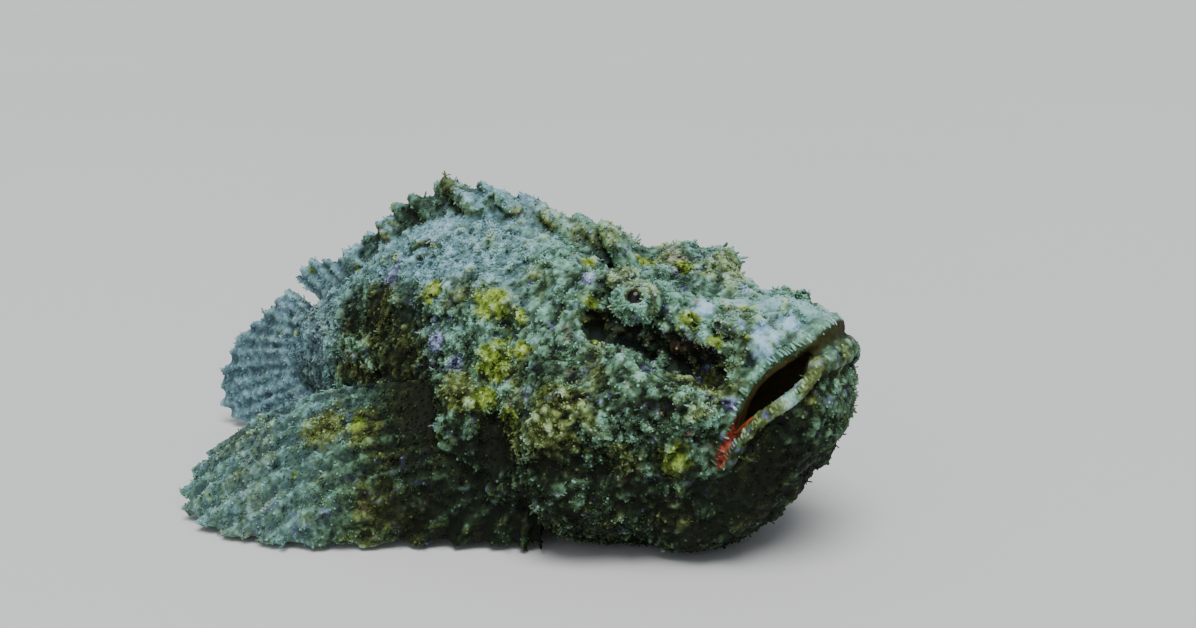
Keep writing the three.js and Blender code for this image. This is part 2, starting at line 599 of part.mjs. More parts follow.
// A fin on one side: rays fan from the roots to the tips, as ridges on both faces of one web
function fin(spec, side = 1) {
  const columns = 2 * (spec.rays - 1);
  const onSide = (points) => points.map(([x, y, z]) => [x, side * y, z]);
  const [roots, tips] = [onSide(spec.roots), onSide(spec.tips)];
  const arch = v3(spec.arch).multiply(new THREE.Vector3(1, side, 1));
  const rootAt = (t) => alongPoints(roots, t * (roots.length - 1));
  const tipAt = (t) => alongPoints(tips, t * (tips.length - 1));
  const grid = [];
  for (let k = 0; k <= columns; k++) {
    const [root, tip] = [rootAt(k / columns), tipAt(k / columns)];
    if (k % 2) tip.addScaledVector(tip.clone().sub(root).normalize(), -spec.scallop);
    grid.push([...Array(spec.steps + 1).keys()].map((j) => {
      const t = j / spec.steps;
      return root.clone().lerp(tip, t).addScaledVector(arch, Math.sin(Math.PI * t));
    }));
  }
  const [front, back] = [[], []];
  grid.forEach((ray, k) => {
    const before = grid[Math.max(0, k - 2)];
    const after = grid[Math.min(columns, k + 2)];
    const faces = ray.map((point, j) => {
      const out = ray[Math.min(j + 1, spec.steps)].clone().sub(ray[Math.max(j - 1, 0)]);
      const normal = out.cross(after[j].clone().sub(before[j])).normalize();
      const t = j / spec.steps;
      const ridge = (spec.ridge / 2) * (k % 2 ? -1 : 1) * Math.min(1, 3 * t);
      const half = mix(spec.thick[0], spec.thick[1], Math.sqrt(t)) / 2 + ridge;
      const pair = [1, -1].map((s) => point.clone().addScaledVector(normal, s * half));
      const lift = Math.max(0, -Math.min(pair[0].z, pair[1].z));
      return pair.map((p) => p.setZ(p.z + lift));
    });
    front.push(faces.map((f) => f[0]));
    back.push(faces.map((f) => f[1]));
  });
  return solidOf(slab(front, back));
}

// The dorsal fin: spines in thick sheaths with a low web between them, then the soft rays
function dorsalFin() {
  const random = randomFrom(3);
  const backAt = (t) => section(mix(SPINE_RIBS[0], SPINE_RIBS[1], t)).top;
  const shares = [0, 0.25, 0.5, 0.75, 1];
  const webRoots = shares.map((t) => backAt(t).add(v3([0, 0, -SPINE_SUNK])).toArray());
  const webTips = shares.map((t) => backAt(t).add(v3([-7, 0, WEB_HEIGHT])).toArray());
  const solids = [fin({ ...SPINE_WEB, roots: webRoots, tips: webTips }), fin(SOFT_DORSAL)];
  for (let i = 0; i < SPINES; i++) {
    const t = i / (SPINES - 1);
    const rise = FIRST_SPINE_RISE * Math.max(0, 1 - i / 2);
    const lean = THREE.MathUtils.degToRad(SPINE_LEAN - rise + 8 * (random() - 0.5));
    const sway = SPINE_SWAY * (i % 2 ? 1 : -1) * mix(0.5, 1, random());
    const way = v3([-Math.sin(lean), sway, Math.cos(lean)]);
    const root = backAt(t).add(v3([4, 0, -SPINE_SUNK]));
    const long = along(SPINE_LENGTH, 2 * t) * mix(0.9, 1.1, random());
    const thick = mix(SPINE_RADIUS[0], SPINE_RADIUS[1], t) * mix(0.9, 1.1, random());
    const pointAt = (s) => root.clone().addScaledVector(way, s * long).addScaledVector(FORWARD, -3 * s * s);
    solids.push(horn([0, 0.6, 0.88, 1].map(pointAt), [1, 0.92, 0.6, 0.2].map((share) => share * thick), 6));
  }
  return joined(solids);
}

const materials = {
  skin: new THREE.MeshStandardMaterial({ color: 0x6f7f5f, roughness: 0.85, metalness: 0 }),
  fin: new THREE.MeshStandardMaterial({ color: 0x7f9478, roughness: 0.85, metalness: 0 }),
  spine: new THREE.MeshStandardMaterial({ color: 0x8fa58f, roughness: 0.85, metalness: 0 }),
  jaw: new THREE.MeshStandardMaterial({ color: 0x5d6a45, roughness: 0.8, metalness: 0 }),
  eye: new THREE.MeshStandardMaterial({ color: 0x14120f, roughness: 0.15, metalness: 0 }),
};

const fish = new THREE.Group();
function addNode(name, solid, material) {
  const mesh = new THREE.Mesh(geometryOf(largest(solid).simplify(WELD)), material);
  mesh.name = name;
  fish.add(mesh);
}

const front = frontPrism();
const frontOfHead = front.translate(...GAPE_FORWARD.clone().multiplyScalar(-GAP));
const grown = bodySolid(GAP).add(jawSolid(GAP));

// A plane across the body at a rib, and what lies in front of it or behind it
function cutAt(u) {
  const { top, bottom } = section(u);
  const up = top.clone().sub(bottom).normalize();
  const back = new THREE.Vector3(-up.z, 0, up.x);
  const shifted = (share) => bottom.clone().addScaledVector(back, share * GAP);
  return { ahead: behind(shifted(-0.5), back), after: behind(shifted(0.5), back.clone().negate()) };
}

const headCut = cutAt(HEAD_END);
const trunkCut = cutAt(TRUNK_END);
const whole = bodySolid(0);
const lipRandom = randomFrom(11);

// Head: the cheeks, gill covers, upper jaw and lip, with the mouth and the eye sockets hollowed out
const upperLip = lip(skin(bodyGrid)[0], GAPE_FORWARD.clone().negate(), FRINGE_LEAN.upper, lipRandom);
const mouthMiddle = HINGE.clone().addScaledVector(GAPE_UP, MOUTH_REACH);
const palate = ellipsoid(mouthMiddle, PALATE, [GAPE_UP, LEFT, GAPE_UP.clone().cross(LEFT)]);
let head = whole.intersect(headCut.ahead).subtract(palate);
const bothSides = [1, -1].flatMap((side) => [...lids(side, lipRandom), ...nostrils(side)]);
head = joined([head, ...upperLip, ...bothSides]).subtract(frontOfHead);
for (const side of [1, -1]) head = head.subtract(ball(eyeFrame(side).at, EYE.radius + GAP));
addNode("head", head, materials.skin);

// Lower jaw with its lip
const jawMiddle = openJaw(mouthMiddle);
const jawUp = jawMiddle.clone().sub(HINGE).normalize();
const floorOfMouth = ellipsoid(jawMiddle, MOUTH_FLOOR, [jawUp, LEFT, jawUp.clone().cross(LEFT)]);
const lowerLip = lip(skin(jawGrid).at(-1), GAPE_FORWARD, FRINGE_LEAN.lower, lipRandom);
const jaw = joined([jawSolid(0).subtract(floorOfMouth), ...lowerLip]).intersect(front);
addNode("jaw", jaw, materials.jaw);

for (const [side, name] of [[1, "left"], [-1, "right"]]) {
  addNode("eye_" + name, ball(eyeFrame(side).at, EYE.radius), materials.eye);
  addNode("pectoral_fin_" + name, fin(PECTORAL, side).subtract(grown), materials.fin);
  addNode("pelvic_fin_" + name, fin(PELVIC, side).subtract(grown), materials.fin);
}

addNode("trunk", whole.intersect(headCut.after).intersect(trunkCut.ahead), materials.skin);
addNode("tail", whole.intersect(trunkCut.after), materials.skin);
addNode("caudal_fin", fin(CAUDAL).subtract(grown), materials.fin);
addNode("anal_fin", fin(ANAL).subtract(grown), materials.fin);
addNode("dorsal_fin", dorsalFin().subtract(grown), materials.spine);

// The origin is on the floor under the middle of the box round the whole fish
const middle = new THREE.Box3().setFromObject(fish).getCenter(new THREE.Vector3());
fish.children.forEach((mesh) => mesh.position.set(-middle.x, -middle.y, 0));

export default fish;
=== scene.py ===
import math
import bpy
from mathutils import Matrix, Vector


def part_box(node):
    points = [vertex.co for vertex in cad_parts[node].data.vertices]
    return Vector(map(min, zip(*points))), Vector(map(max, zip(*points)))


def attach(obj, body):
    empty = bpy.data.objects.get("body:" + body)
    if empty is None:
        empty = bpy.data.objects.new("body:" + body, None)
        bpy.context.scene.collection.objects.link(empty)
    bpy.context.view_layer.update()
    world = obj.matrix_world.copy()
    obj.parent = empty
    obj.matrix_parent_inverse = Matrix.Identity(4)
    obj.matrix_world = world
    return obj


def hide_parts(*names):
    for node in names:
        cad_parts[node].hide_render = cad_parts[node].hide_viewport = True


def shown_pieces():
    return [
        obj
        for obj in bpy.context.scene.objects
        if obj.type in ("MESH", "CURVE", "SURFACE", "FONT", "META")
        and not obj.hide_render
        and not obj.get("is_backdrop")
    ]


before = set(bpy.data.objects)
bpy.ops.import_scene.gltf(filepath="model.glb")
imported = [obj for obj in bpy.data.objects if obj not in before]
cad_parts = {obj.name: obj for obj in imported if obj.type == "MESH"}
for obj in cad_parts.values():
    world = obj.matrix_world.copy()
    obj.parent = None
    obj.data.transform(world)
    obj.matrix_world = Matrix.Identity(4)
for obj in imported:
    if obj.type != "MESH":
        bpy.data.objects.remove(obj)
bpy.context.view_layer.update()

# Reef stonefish, life size: one warty skin in place of the flesh, with its eyes, mouth and papillae.
# Lengths are in millimetres in the fish's own frame until they become mesh points, which are in metres.

from types import SimpleNamespace

import bpy
import numpy as np
from mathutils import Vector
from mathutils.bvhtree import BVHTree
from mathutils.kdtree import KDTree

MM = 0.001
VOXEL = 1.0  # of the skin's mesh
SMOOTHING = 3  # rounds of it on the new skin
MASK_ROUNDS = 4  # of spreading at the edges of the skin's parts
NEAR_ROUNDS = 2  # of spreading round a knob
WIDE_ROUNDS = 24  # of spreading round a hollow
SIDES = {"left": 1, "right": -1}

# The body's sections as in the solids: top x and z, bottom x and z, half width, how far up it is widest,
# the superellipse powers of the upper and lower halves, and the shift to the left
RIBS = np.array([
    (139, 87, 87, -1, 37, 0.47, 2.6, 2.5, 0),
    (127, 95, 77, -1.2, 43, 0.45, 2.3, 2.6, 0),
    (108, 98, 65, -1.2, 49, 0.43, 2.4, 2.8, 0),
    (88, 98, 52, -0.6, 54, 0.41, 2.5, 2.9, 0),
    (68, 102, 38, 2, 57, 0.4, 2.3, 2.9, 0),
    (47, 109, 23, 3.5, 57, 0.38, 2.1, 2.9, 0),
    (24, 116, 8, 3.5, 54, 0.36, 1.9, 2.8, 0),
    (0, 120, -8, 2, 49, 0.34, 1.75, 2.7, 0),
    (-26, 117, -26, -1, 42, 0.33, 1.7, 2.6, 0),
    (-50, 106, -45, 0.5, 34, 0.35, 1.7, 2.4, 1),
    (-71, 90, -65, 8, 26, 0.4, 1.8, 2.2, 2.5),
    (-89, 76, -85, 18, 17, 0.45, 2, 2.1, 4.5),
    (-105, 67, -103, 26, 9, 0.5, 2, 2, 6.5),
    (-115, 64, -114, 29, 4.8, 0.5, 2, 2, 8),
], float)
MOUTH_CORNER = (113, 43)
JAW_BULGE = 23
JAW_POWER_TOP = 2.2
JAW_POWER_BOTTOM = 2.4
JAW_LAST_ANGLE = 72
JAW_OPEN = 24
JAW_CLOSING = 0.85
JAW_BEND_LENGTH = 45
JAW_DROP = 4
MOUTH_BOW = 6.5
BOW_SKEW = 1.75
BOW_REACH = 40
BOW_SIDES = 15
CORNER_MARGIN = 2  # over the corners, where a lip starts
LIP_RADIUS = 3.2
LIP_SWELL = 3.4
LIP_SWELL_REACH = 0.16
LIP_INSET = 0.75
PALATE_DEPTH = 22
MOUTH_FLOOR_DEPTH = 8
HOLLOW_HEIGHT = 22  # of the mouth's deepest place over its corners
HOLLOW_RADIUS = 25
MOUTH_RINGS = 34

# Raised and sunk forms of the left side, and of the right like them: from, to, reach and rise
FORMS = [
    ((83, 27, 96), (70, 27, 99), 17, 13),
    ((92, 22, 97), (96, 17, 96), 10, 4),
    ((92, 0, 98), (76, 0, 100), 14, -5),
    ((64, 38, 90), (82, 38, 86), 9, -8),
    ((86, 38, 84), (107, 34, 79), 11, -12),
    ((74, 48, 75), (96, 44, 70), 10, 4),
    ((112, 24, 90), (124, 20, 88), 10, 4),
    ((121, 0, 97), (134, 0, 92), 10, 3),
    ((96, 46, 58), (104, 42, 66), 15, 6),
    ((76, 52, 62), (84, 50, 56), 14, 6),
    ((56, 54, 70), (50, 56, 52), 16, 7),
    ((58, 55, 34), (66, 53, 26), 16, 6),
    ((28, 44, 86), (30, 53, 50), 8, -6),
    ((30, 53, 50), (44, 48, 14), 8, -5),
    ((52, 30, 101), (40, 26, 106), 13, 6),
    ((60, 8, 103), (54, 0, 105), 12, -4),
    ((8, 34, 96), (-6, 33, 94), 15, 5),
    ((10, 50, 60), (16, 52, 42), 15, 5),
    ((104, 30, 10), (96, 34, 6), 12, 4),
]
WART_SEED = 7
WART_TRIES = 4000
WART_COUNT = 120
WART_REACH = (6, 10)
WART_RISE = (1.8, 4.2)
WART_LOWEST = 14
WART_SPACING = 0.72
WARTS_FROM_EYE = 14
WARTS_FROM_GAPE = 6

EYE_AT = np.array([80, 36, 100.8])
EYE_LOOK = np.array([0.25, 0.87, 0.42])
EYE_RADIUS = 5.4
EYE_STEPS = (65, 72)  # over the ball and round it
CORNEA = 0.07  # how much further than the ball it stands out
CORNEA_REACH = 0.8
# The lids' rings: height over the eye's middle, radius and how flat the ring is
LID_PROFILE = (
    (-10, 10.2, 0.86), (-3, 10.2, 0.86), (1.2, 9, 0.86), (3.8, 7.2, 0.84), (5.2, 5.4, 0.8), (5.4, 4.2, 0.74),
    (4.9, 3.4, 0.66), (3.9, 3.2, 0.62), (-2.5, 3.2, 0.62))
LID_OPENING = (3.2, 0.62)  # its radius and how flat it is
SOCKET_LIFT = (-2.5, 12)  # over the eye's middle, of the socket's skin and of the highest skin drawn down
SOCKET_EDGE = 0.9
NOSTRILS = [((120, 21, 92), 2.6, 1.3), ((110, 27, 91), 2.2, 1.1)]  # place, outer and inner radius
NOSTRIL_HEIGHT = 2.4
# Across the eye from the middle of its pupil to its back: where the pupil, its ring and the iris end
PUPIL_EDGE = (0.132, 0.142)
RING_EDGE = (0.146, 0.154)
IRIS_EDGE = (0.33, 0.40)

RAY_STEPS = 8  # from a ray to the middle of the web beside it
# Fins, on the fish's left: the points along their roots and their margins, the lift of their middle, their
# thickness at root and margin, the count of rays, the depth of ridge and scallop, and the steps along a ray
FINS = {
    "pectoral": dict(
        roots=[(-4, 44, 60), (10, 48, 48), (24, 48, 32), (36, 44, 16), (42, 38, 7)],
        tips=[
            (-108, 60, 17), (-104, 80, 6), (-78, 94, 2), (-40, 90, 2), (-4, 68, 2), (26, 54, 2),
            (46, 46, 2)],
        arch=(0, 2, 9), thick=(10, 3.4), rays=14, ridge=1.5, scallop=4, steps=60),
    "pelvic": dict(
        roots=[(46, 25, 9), (38, 29, 9), (30, 33, 9)],
        tips=[(-4, 20, 1.4), (-10, 32, 1.4), (-5, 45, 1.4), (13, 53, 1.4)],
        thick=(4, 2.6), rays=6, ridge=0.6, scallop=2.5, steps=30),
    "caudal": dict(
        roots=[(-100, 7, 63), (-104, 7, 46), (-100, 7, 30)],
        tips=[(-121, 8, 73), (-138, 10, 59), (-157, 12, 43), (-170, 15, 22), (-165, 14, 5), (-140, 12, 1)],
        thick=(9, 3), rays=12, ridge=1.2, scallop=3, steps=40),
    "anal": dict(
        roots=[(-50, 1, 6), (-66, 3, 14), (-84, 5, 25)],
        tips=[(-60, 2, 1), (-84, 4, 1), (-104, 6, 6), (-108, 7, 16)],
        thick=(8, 3), rays=8, ridge=1, scallop=2, steps=24),
    "soft_dorsal": dict(
        roots=[(-66, 2, 86), (-80, 4, 76), (-92, 6, 68)],
        tips=[(-78, 3, 94), (-92, 5, 91), (-106, 6, 88), (-114, 7, 80)],
        thick=(8, 3), rays=6, ridge=1, scallop=2.5, steps=24),
}
SPINES = 13
SPINE_SEED = 3
SPINE_RIBS = (4.6, 9.95)  # of the first spine and of the last
SPINE_LENGTH = (24, 25, 16)
SPINE_RADIUS = (5.6, 4)
SPINE_VARIES = (0.9, 1.1)
SPINE_ROOT = (4, 0, -6)  # from the back's top, as are the web's root and margin
SPINE_BEND = np.array([-3.0, 0, 0])
SPINE_STEPS = np.array([0, 0.2, 0.4, 0.6, 0.75, 0.88, 0.95, 1])
SPINE_TAPER = ((0, 0.6, 0.88, 1), (1, 0.92, 0.6, 0.2))  # shares of its length, and of its radius there
SPINE_LEAN = 47
FIRST_SPINE_RISE = 22
SPINE_LEAN_SPREAD = 8
SPINE_SWAY = 0.16
WEB_ROOT = (0, 0, -6)
WEB_MARGIN = (-7, 0, 8)

# Papillae of the skin: how many, and their sizes
PAPILLAE_SEED = 17
GRAINS = 30000
GRAIN_RADIUS = (0.25, 0.75)
GRAIN_TONES = (-0.06, 0.04, 0.24)
CLUBS = 15000
CLUB_LENGTH = (0.5, 1.3)
CLUB_TONES = (-0.05, 0.03, 0.12)
TUFTS = 1000
TUFT_CLUBS = 4
TUFT_LENGTH = (1, 2.4)
TUFT_TONES = (-0.05, 0.03, 0.1)
LIP_CIRRI = 96
CIRRUS_LENGTH = {"upper_lip": (1.8, 3), "lower_lip": (1, 2)}
CIRRUS_RADIUS = (0.42, 0.72)
CIRRUS_TONES = (0.12, 0.34)
LID_TASSELS = 22
TASSEL_LENGTH = (1.2, 2.8)
TASSEL_ROOT = (4.6, 6.6)  # from the middle of the eye's opening
TASSEL_LIFT = 4.4
TASSEL_TONES = (-0.05, 0.25)
PATCH = 0.003  # one root's share of the coat's map
PIECE_TRIANGLES = 190000  # the most in one piece of the coat
MAP_START = -130  # of the body along x, on the coat's map
MAP_LENGTH = 300
MAP_AXIS = 50  # the height of the line round which the body is rolled out

# The membrane at each corner of the mouth, its heights measured from the corner
MEMBRANE_FOOT = -3
MEMBRANE_TOP = (6, 27)  # at the upper lip and at the lower one
MEMBRANE_INSET = 1.5
MEMBRANE_THICKNESS = 0.8
MEMBRANE_STEPS = (24, 80)  # across it and up
# The fold also carries painted shade where the lips meet near the tip of the mouth.
FOLD_HALF_WIDTH = 2.6  # of the red skin between the lips
FOLD_EDGE = 1.2
FIN_NAMES = (
    "pectoral_left", "pectoral_right", "pelvic_left", "pelvic_right", "caudal", "anal", "soft_dorsal", "web",
    "spine")

CAMERA_TARGET = np.array([44.197, 0, 83.299])
CAMERA_AZIMUTH = 29.3
CAMERA_ELEVATION = 14
CAMERA_DISTANCE = 584.14
CAMERA_LENS = 45
LIGHT_DISTANCE = 1.4  # in metres, as is the floor's half width
FLOOR_HALF = 20


def unit(v):
    v = np.asarray(v, float)
    return v / np.maximum(np.linalg.norm(v, axis=-1, keepdims=True), 1e-9)


def mix(a, b, t):
    return a + (b - a) * t


def length_of(v):
    return np.linalg.norm(v, axis=-1)


def within(t):
    return np.clip(t, 0, 1)


def smooth(t):
    t = within(t)
    return t * t * (3 - 2 * t)


def between(value, start, end):
    """0 up to the start, 1 from the end on and smooth between. The end may be the lower one."""
    return smooth((value - start) / (end - start))


def slope(rows, reach=1):
    """From the row before each to the row after it, where reach is how many rows off these are."""
    at = np.arange(len(rows))
    return rows[np.minimum(at + reach, len(rows) - 1)] - rows[np.maximum(at - reach, 0)]


def circle(across, over, turn):
    return across * np.cos(turn) + over * np.sin(turn)


def square_to(way):
    """Two directions square to each way."""
    level = np.where(np.abs(way[..., 2:]) > 0.9, (1.0, 0, 0), (0.0, 0, 1))
    across = unit(np.cross(way, level))
    return across, np.cross(across, way)


def random_from(seed):
    """A seeded draw from 0 to 1, the same as in the solids."""
    state = seed

    def draw():
        nonlocal state
        state = (state + 0x6D2B79F5) & 0xFFFFFFFF
        t = ((state ^ (state >> 15)) * (state | 1)) & 0xFFFFFFFF
        t = ((t + (((t ^ (t >> 7)) * (t | 61)) & 0xFFFFFFFF)) & 0xFFFFFFFF) ^ t
        return ((t ^ (t >> 14)) & 0xFFFFFFFF) / 4294967296

    return draw


def along(values, u):
    """Values at whole numbers of u, joined by a smooth curve."""
    values = np.asarray(values, float)
    u = np.asarray(u, float)
    last = len(values) - 1
    i = np.clip(np.floor(u).astype(int), 0, last - 1)
    t = (u - i)[..., None]
    a, b, c, d = (values[np.clip(i + k, 0, last)] for k in (-1, 0, 1, 2))
    slopes = 0.5 * (c - a) * t + 0.5 * (2 * a - 5 * b + 4 * c - d) * t * t
    return b + slopes + 0.5 * (3 * b - a - 3 * c + d) * t ** 3


def body_point(u, angle):
    """A point of the body's section u, where angle 0 is the top and a quarter turn the left side."""
    u, angle = np.broadcast_arrays(u, angle)
    top_x, top_z, bottom_x, bottom_z, half, widest, upper, lower, shift = np.moveaxis(along(RIBS, u), -1, 0)
    top = np.stack([top_x, shift, top_z], -1)
    bottom = np.stack([bottom_x, shift, bottom_z], -1)
    c, q = np.cos(angle), np.sin(angle)
    power = np.where(c > 0, upper, lower)
    middle = mix(bottom, top, widest[..., None])
    end = np.where((c > 0)[..., None], top, bottom) - middle
    point = middle + end * (np.abs(c) ** (2 / power))[..., None]
    point[..., 1] += half * np.sign(q) * np.abs(q) ** (2 / power)
    return point


GAPE_TOP = np.array([RIBS[0, 0], 0, RIBS[0, 1]])
GAPE_BOTTOM = np.array([RIBS[0, 2], 0, RIBS[0, 3]])
GAPE_MIDDLE = (GAPE_TOP + GAPE_BOTTOM) / 2
GAPE_UP = unit(GAPE_TOP - GAPE_BOTTOM)
GAPE_FORWARD = np.array([GAPE_UP[2], 0, -GAPE_UP[0]])
HINGE = np.array([MOUTH_CORNER[0], 0, MOUTH_CORNER[1]])
MOUTH_MIDDLE = HINGE + HOLLOW_HEIGHT * GAPE_UP
GAPE_HEIGHT = np.linalg.norm(GAPE_TOP - HINGE)


def turned(points, turn):
    """Points turned about the Y axis through the mouth's corners."""
    away = points - HINGE
    c, s = np.cos(turn), np.sin(turn)
    x = c * away[..., 0] + s * away[..., 2]
    z = c * away[..., 2] - s * away[..., 0]
    return np.stack([x, away[..., 1], z], -1) + HINGE


JAW_FORWARD = turned(GAPE_FORWARD + HINGE, math.radians(JAW_OPEN)) - HINGE


def bowed(points):
    """Points near the gape bent back with the sides of the mouth."""
    away = points - HINGE
    height = within(away @ GAPE_UP / GAPE_HEIGHT)
    near = 1 - smooth(np.abs(away @ GAPE_FORWARD) / BOW_REACH)
    share = smooth(np.abs(points[..., 1]) / BOW_SIDES) * near
    return points - (MOUTH_BOW * np.sin(math.pi * height ** BOW_SKEW) * share)[..., None] * GAPE_FORWARD


def open_jaw(points):
    height = (points - HINGE) @ GAPE_UP
    to_tip = within(height / GAPE_HEIGHT) ** 4
    turn = math.radians(JAW_OPEN) * smooth(height / JAW_BEND_LENGTH) * (1 - JAW_CLOSING * to_tip)
    return turned(points - (JAW_DROP * to_tip)[..., None] * GAPE_UP, turn)


def jaw_point(depth, angle):
    """A point of the jaw's dome, where depth 0 is the middle of the chin and 1 the gape's plane."""
    depth, angle = np.broadcast_arrays(depth, angle)
    power = mix(JAW_POWER_BOTTOM, JAW_POWER_TOP, 0.5 + 0.5 * np.cos(angle))
    last = math.radians(JAW_LAST_ANGLE)
    k = 2 / power
    grown = (np.sin(depth * last) / math.sin(last)) ** k
    bulge = (np.cos(depth * last) ** k - math.cos(last) ** k) / (1 - math.cos(last) ** k)
    point = mix(GAPE_MIDDLE, body_point(0, angle), grown[..., None])
    return open_jaw(bowed(point + JAW_BULGE * bulge[..., None] * GAPE_FORWARD))


def ring_angles(count):
    return np.arange(count) / count * 2 * math.pi


def body_grid(columns, rows_per_rib):
    steps = (len(RIBS) - 1) * rows_per_rib
    return bowed(body_point(np.arange(steps + 1)[:, None] / rows_per_rib, ring_angles(columns)[None]))


def jaw_grid(columns, rows):
    return jaw_point((np.arange(rows)[:, None] + 1) / rows, ring_angles(columns)[None])


def stroke_distance(points, a, b):
    way = b - a
    t = within((points - a) @ way / max(way @ way, 1e-9))
    return length_of(points - (a + t[..., None] * way))


def dome(distance, reach):
    return np.clip(1 - (distance / reach) ** 2, 0, None) ** 2


SAMPLED = np.concatenate([
    grid.reshape(-1, 3) for grid in (body_grid(columns=48, rows_per_rib=3), jaw_grid(columns=48, rows=6))])


def nearest_skin(p):
    return SAMPLED[np.argmin(((SAMPLED - p) ** 2).sum(1))]


def placed_forms():
    placed = []
    for start, end, reach, rise in FORMS:
        for side in (1, -1) if start[1] or end[1] else (1,):
            ends = [nearest_skin(np.array([x, side * y, z])) for x, y, z in (start, end)]
            placed.append((*ends, reach, rise))
    return placed


def placed_warts():
    draw = random_from(WART_SEED)
    warts = []
    for _ in range(WART_TRIES):
        if len(warts) == WART_COUNT:
            break
        u = -1 + draw() * (len(RIBS) - 1)
        angle = draw() * 2 * math.pi
        at = jaw_point(1 + u, angle) if u < 0 else bowed(body_point(u, angle))
        size = draw()
        reach = mix(*WART_REACH, size)
        in_gape = -0.3 < u < 0.45 and at[2] > MOUTH_CORNER[1] - WARTS_FROM_GAPE
        at_eye = length_of(np.array([at[0], abs(at[1]), at[2]]) - EYE_AT) < WARTS_FROM_EYE
        crowded = any(length_of(w[0] - at) < WART_SPACING * (w[1] + reach) for w in warts)
        if not (at[2] < WART_LOWEST or in_gape or at_eye or crowded):
            warts.append((at, reach, mix(*WART_RISE, size * draw())))
    return warts


PLACED_FORMS = placed_forms()
PLACED_WARTS = placed_warts()


def swell(points):
    """How far the skin stands out of its plain section at each point."""
    rise = np.zeros(points.shape[:-1])
    for a, b, reach, height in PLACED_FORMS:
        rise += height * dome(stroke_distance(points, a, b), reach)
    for at, reach, height in PLACED_WARTS:
        rise += height * dome(length_of(points - at), reach)
    return rise


def out_of(grid):
    """The outward directions of a grid of rings."""
    turning = np.roll(grid, -1, axis=1) - np.roll(grid, 1, axis=1)
    return unit(np.cross(turning, slope(grid)))


def over_floor(points):
    return np.maximum(points, (-np.inf, -np.inf, 0))


def skin_of(grid):
    return over_floor(grid + out_of(grid) * swell(grid)[..., None])


# Closed pieces, each as points and faces

def tube(rings, first=True, last=True):
    """A tube through rings of equal count, closed at its first and last ring or left open there."""
    rings = np.asarray(rings)
    m, n = rings.shape[:2]
    points = np.concatenate([rings.reshape(-1, 3), [rings[0].mean(0)], [rings[-1].mean(0)]])
    faces = []
    for k in range(n):
        after = (k + 1) % n
        if first:
            faces.append((m * n, after, k))
        if last:
            faces.append((m * n + 1, (m - 1) * n + k, (m - 1) * n + after))
        faces += [(i + k, i + after, i + n + after, i + n + k) for i in range(0, (m - 1) * n, n)]
    return points, faces


def slab(front, back):
    """A plate between two grids of points."""
    m, n = front.shape[:2]
    points = np.concatenate([front.reshape(-1, 3), back.reshape(-1, 3)])
    under = m * n
    place = np.arange(under).reshape(m, n)
    a, b, c, d = place[:-1, :-1], place[:-1, 1:], place[1:, 1:], place[1:, :-1]
    both = np.stack([a, b, c, d, under + a, under + d, under + c, under + b], -1)
    rim = np.concatenate([place[0, :-1], place[:-1, -1], place[-1, :0:-1], place[:0:-1, 0]])
    after = np.roll(rim, -1)
    edge = np.stack([rim, under + rim, under + after, after], -1)
    return points, [*both.reshape(-1, 4).tolist(), *edge.tolist()]


def horn(points, radii, sides):
    """A tapered rod along points."""
    points = np.asarray(points, float)
    across, over = square_to(unit(slope(points)))
    flat = circle(across[:, None], over[:, None], ring_angles(sides)[None, :, None])
    return tube(points[:, None] + radii[:, None, None] * flat)


def cupped(rim, middle, normal, depth):
    """Rings from a rim to its middle, hollowed along the normal where the mouth is."""
    rings = [rim]
    for share in np.linspace(1, 0.03, MOUTH_RINGS)[1:]:
        ring = mix(middle, rim, share)
        away = ring - MOUTH_MIDDLE
        place = ((away @ GAPE_UP) / HOLLOW_RADIUS) ** 2 + (away[:, 1] / HOLLOW_RADIUS) ** 2
        hollow = depth * np.sqrt(np.clip(1 - place, 0, None))
        rings.append(ring + normal * hollow[:, None])
    return tube(rings, first=False)


BODY = skin_of(body_grid(columns=240, rows_per_rib=16))
JAW = skin_of(jaw_grid(columns=240, rows=28))
BODY_RIM = BODY[0]
JAW_RIM = JAW[-1]


def body_pieces():
    return [
        ("body", tube(BODY, first=False)),
        ("jaw", tube(JAW, last=False)),
        ("mouth", cupped(BODY_RIM, GAPE_MIDDLE, -GAPE_FORWARD, PALATE_DEPTH)),
        ("mouth", cupped(JAW_RIM, open_jaw(GAPE_MIDDLE), JAW_FORWARD, MOUTH_FLOOR_DEPTH)),
        ("lip", lip(BODY_RIM, -GAPE_FORWARD)),
        ("lip", lip(JAW_RIM, GAPE_FORWARD)),
    ]


def rim_curve(rim):
    """The rim of the mouth from corner to corner, over its top."""
    start = int(np.argmax((rim - HINGE) @ GAPE_UP < CORNER_MARGIN))
    ring = np.roll(rim, -start, axis=0)
    return ring[(ring - HINGE) @ GAPE_UP >= CORNER_MARGIN]


def spaced(points, count):
    """Points at equal steps along a broken line."""
    run = np.append(0, np.cumsum(length_of(np.diff(points, axis=0))))
    want = np.linspace(0, run[-1], count)
    return np.stack([np.interp(want, run, points[:, k]) for k in range(3)], -1)


def lip_path(rim, inward, count):
    """Points along the middle of a lip, and the lip's radius there."""
    path = spaced(rim_curve(rim) + inward * LIP_RADIUS * LIP_INSET, count)
    t = np.linspace(0, 1, count)
    radius = LIP_RADIUS * (0.75 + 0.25 * np.sin(math.pi * t))
    return path, radius + LIP_SWELL * dome(t - 0.5, LIP_SWELL_REACH)


def lip(rim, inward):
    return horn(*lip_path(rim, inward, count=90), sides=16)


def eye_frame(side):
    look = unit(EYE_LOOK) * (1, side, 1)
    along_eye = unit(np.cross((0, 0, 1), look))
    return EYE_AT * (1, side, 1), look, along_eye, np.cross(look, along_eye)


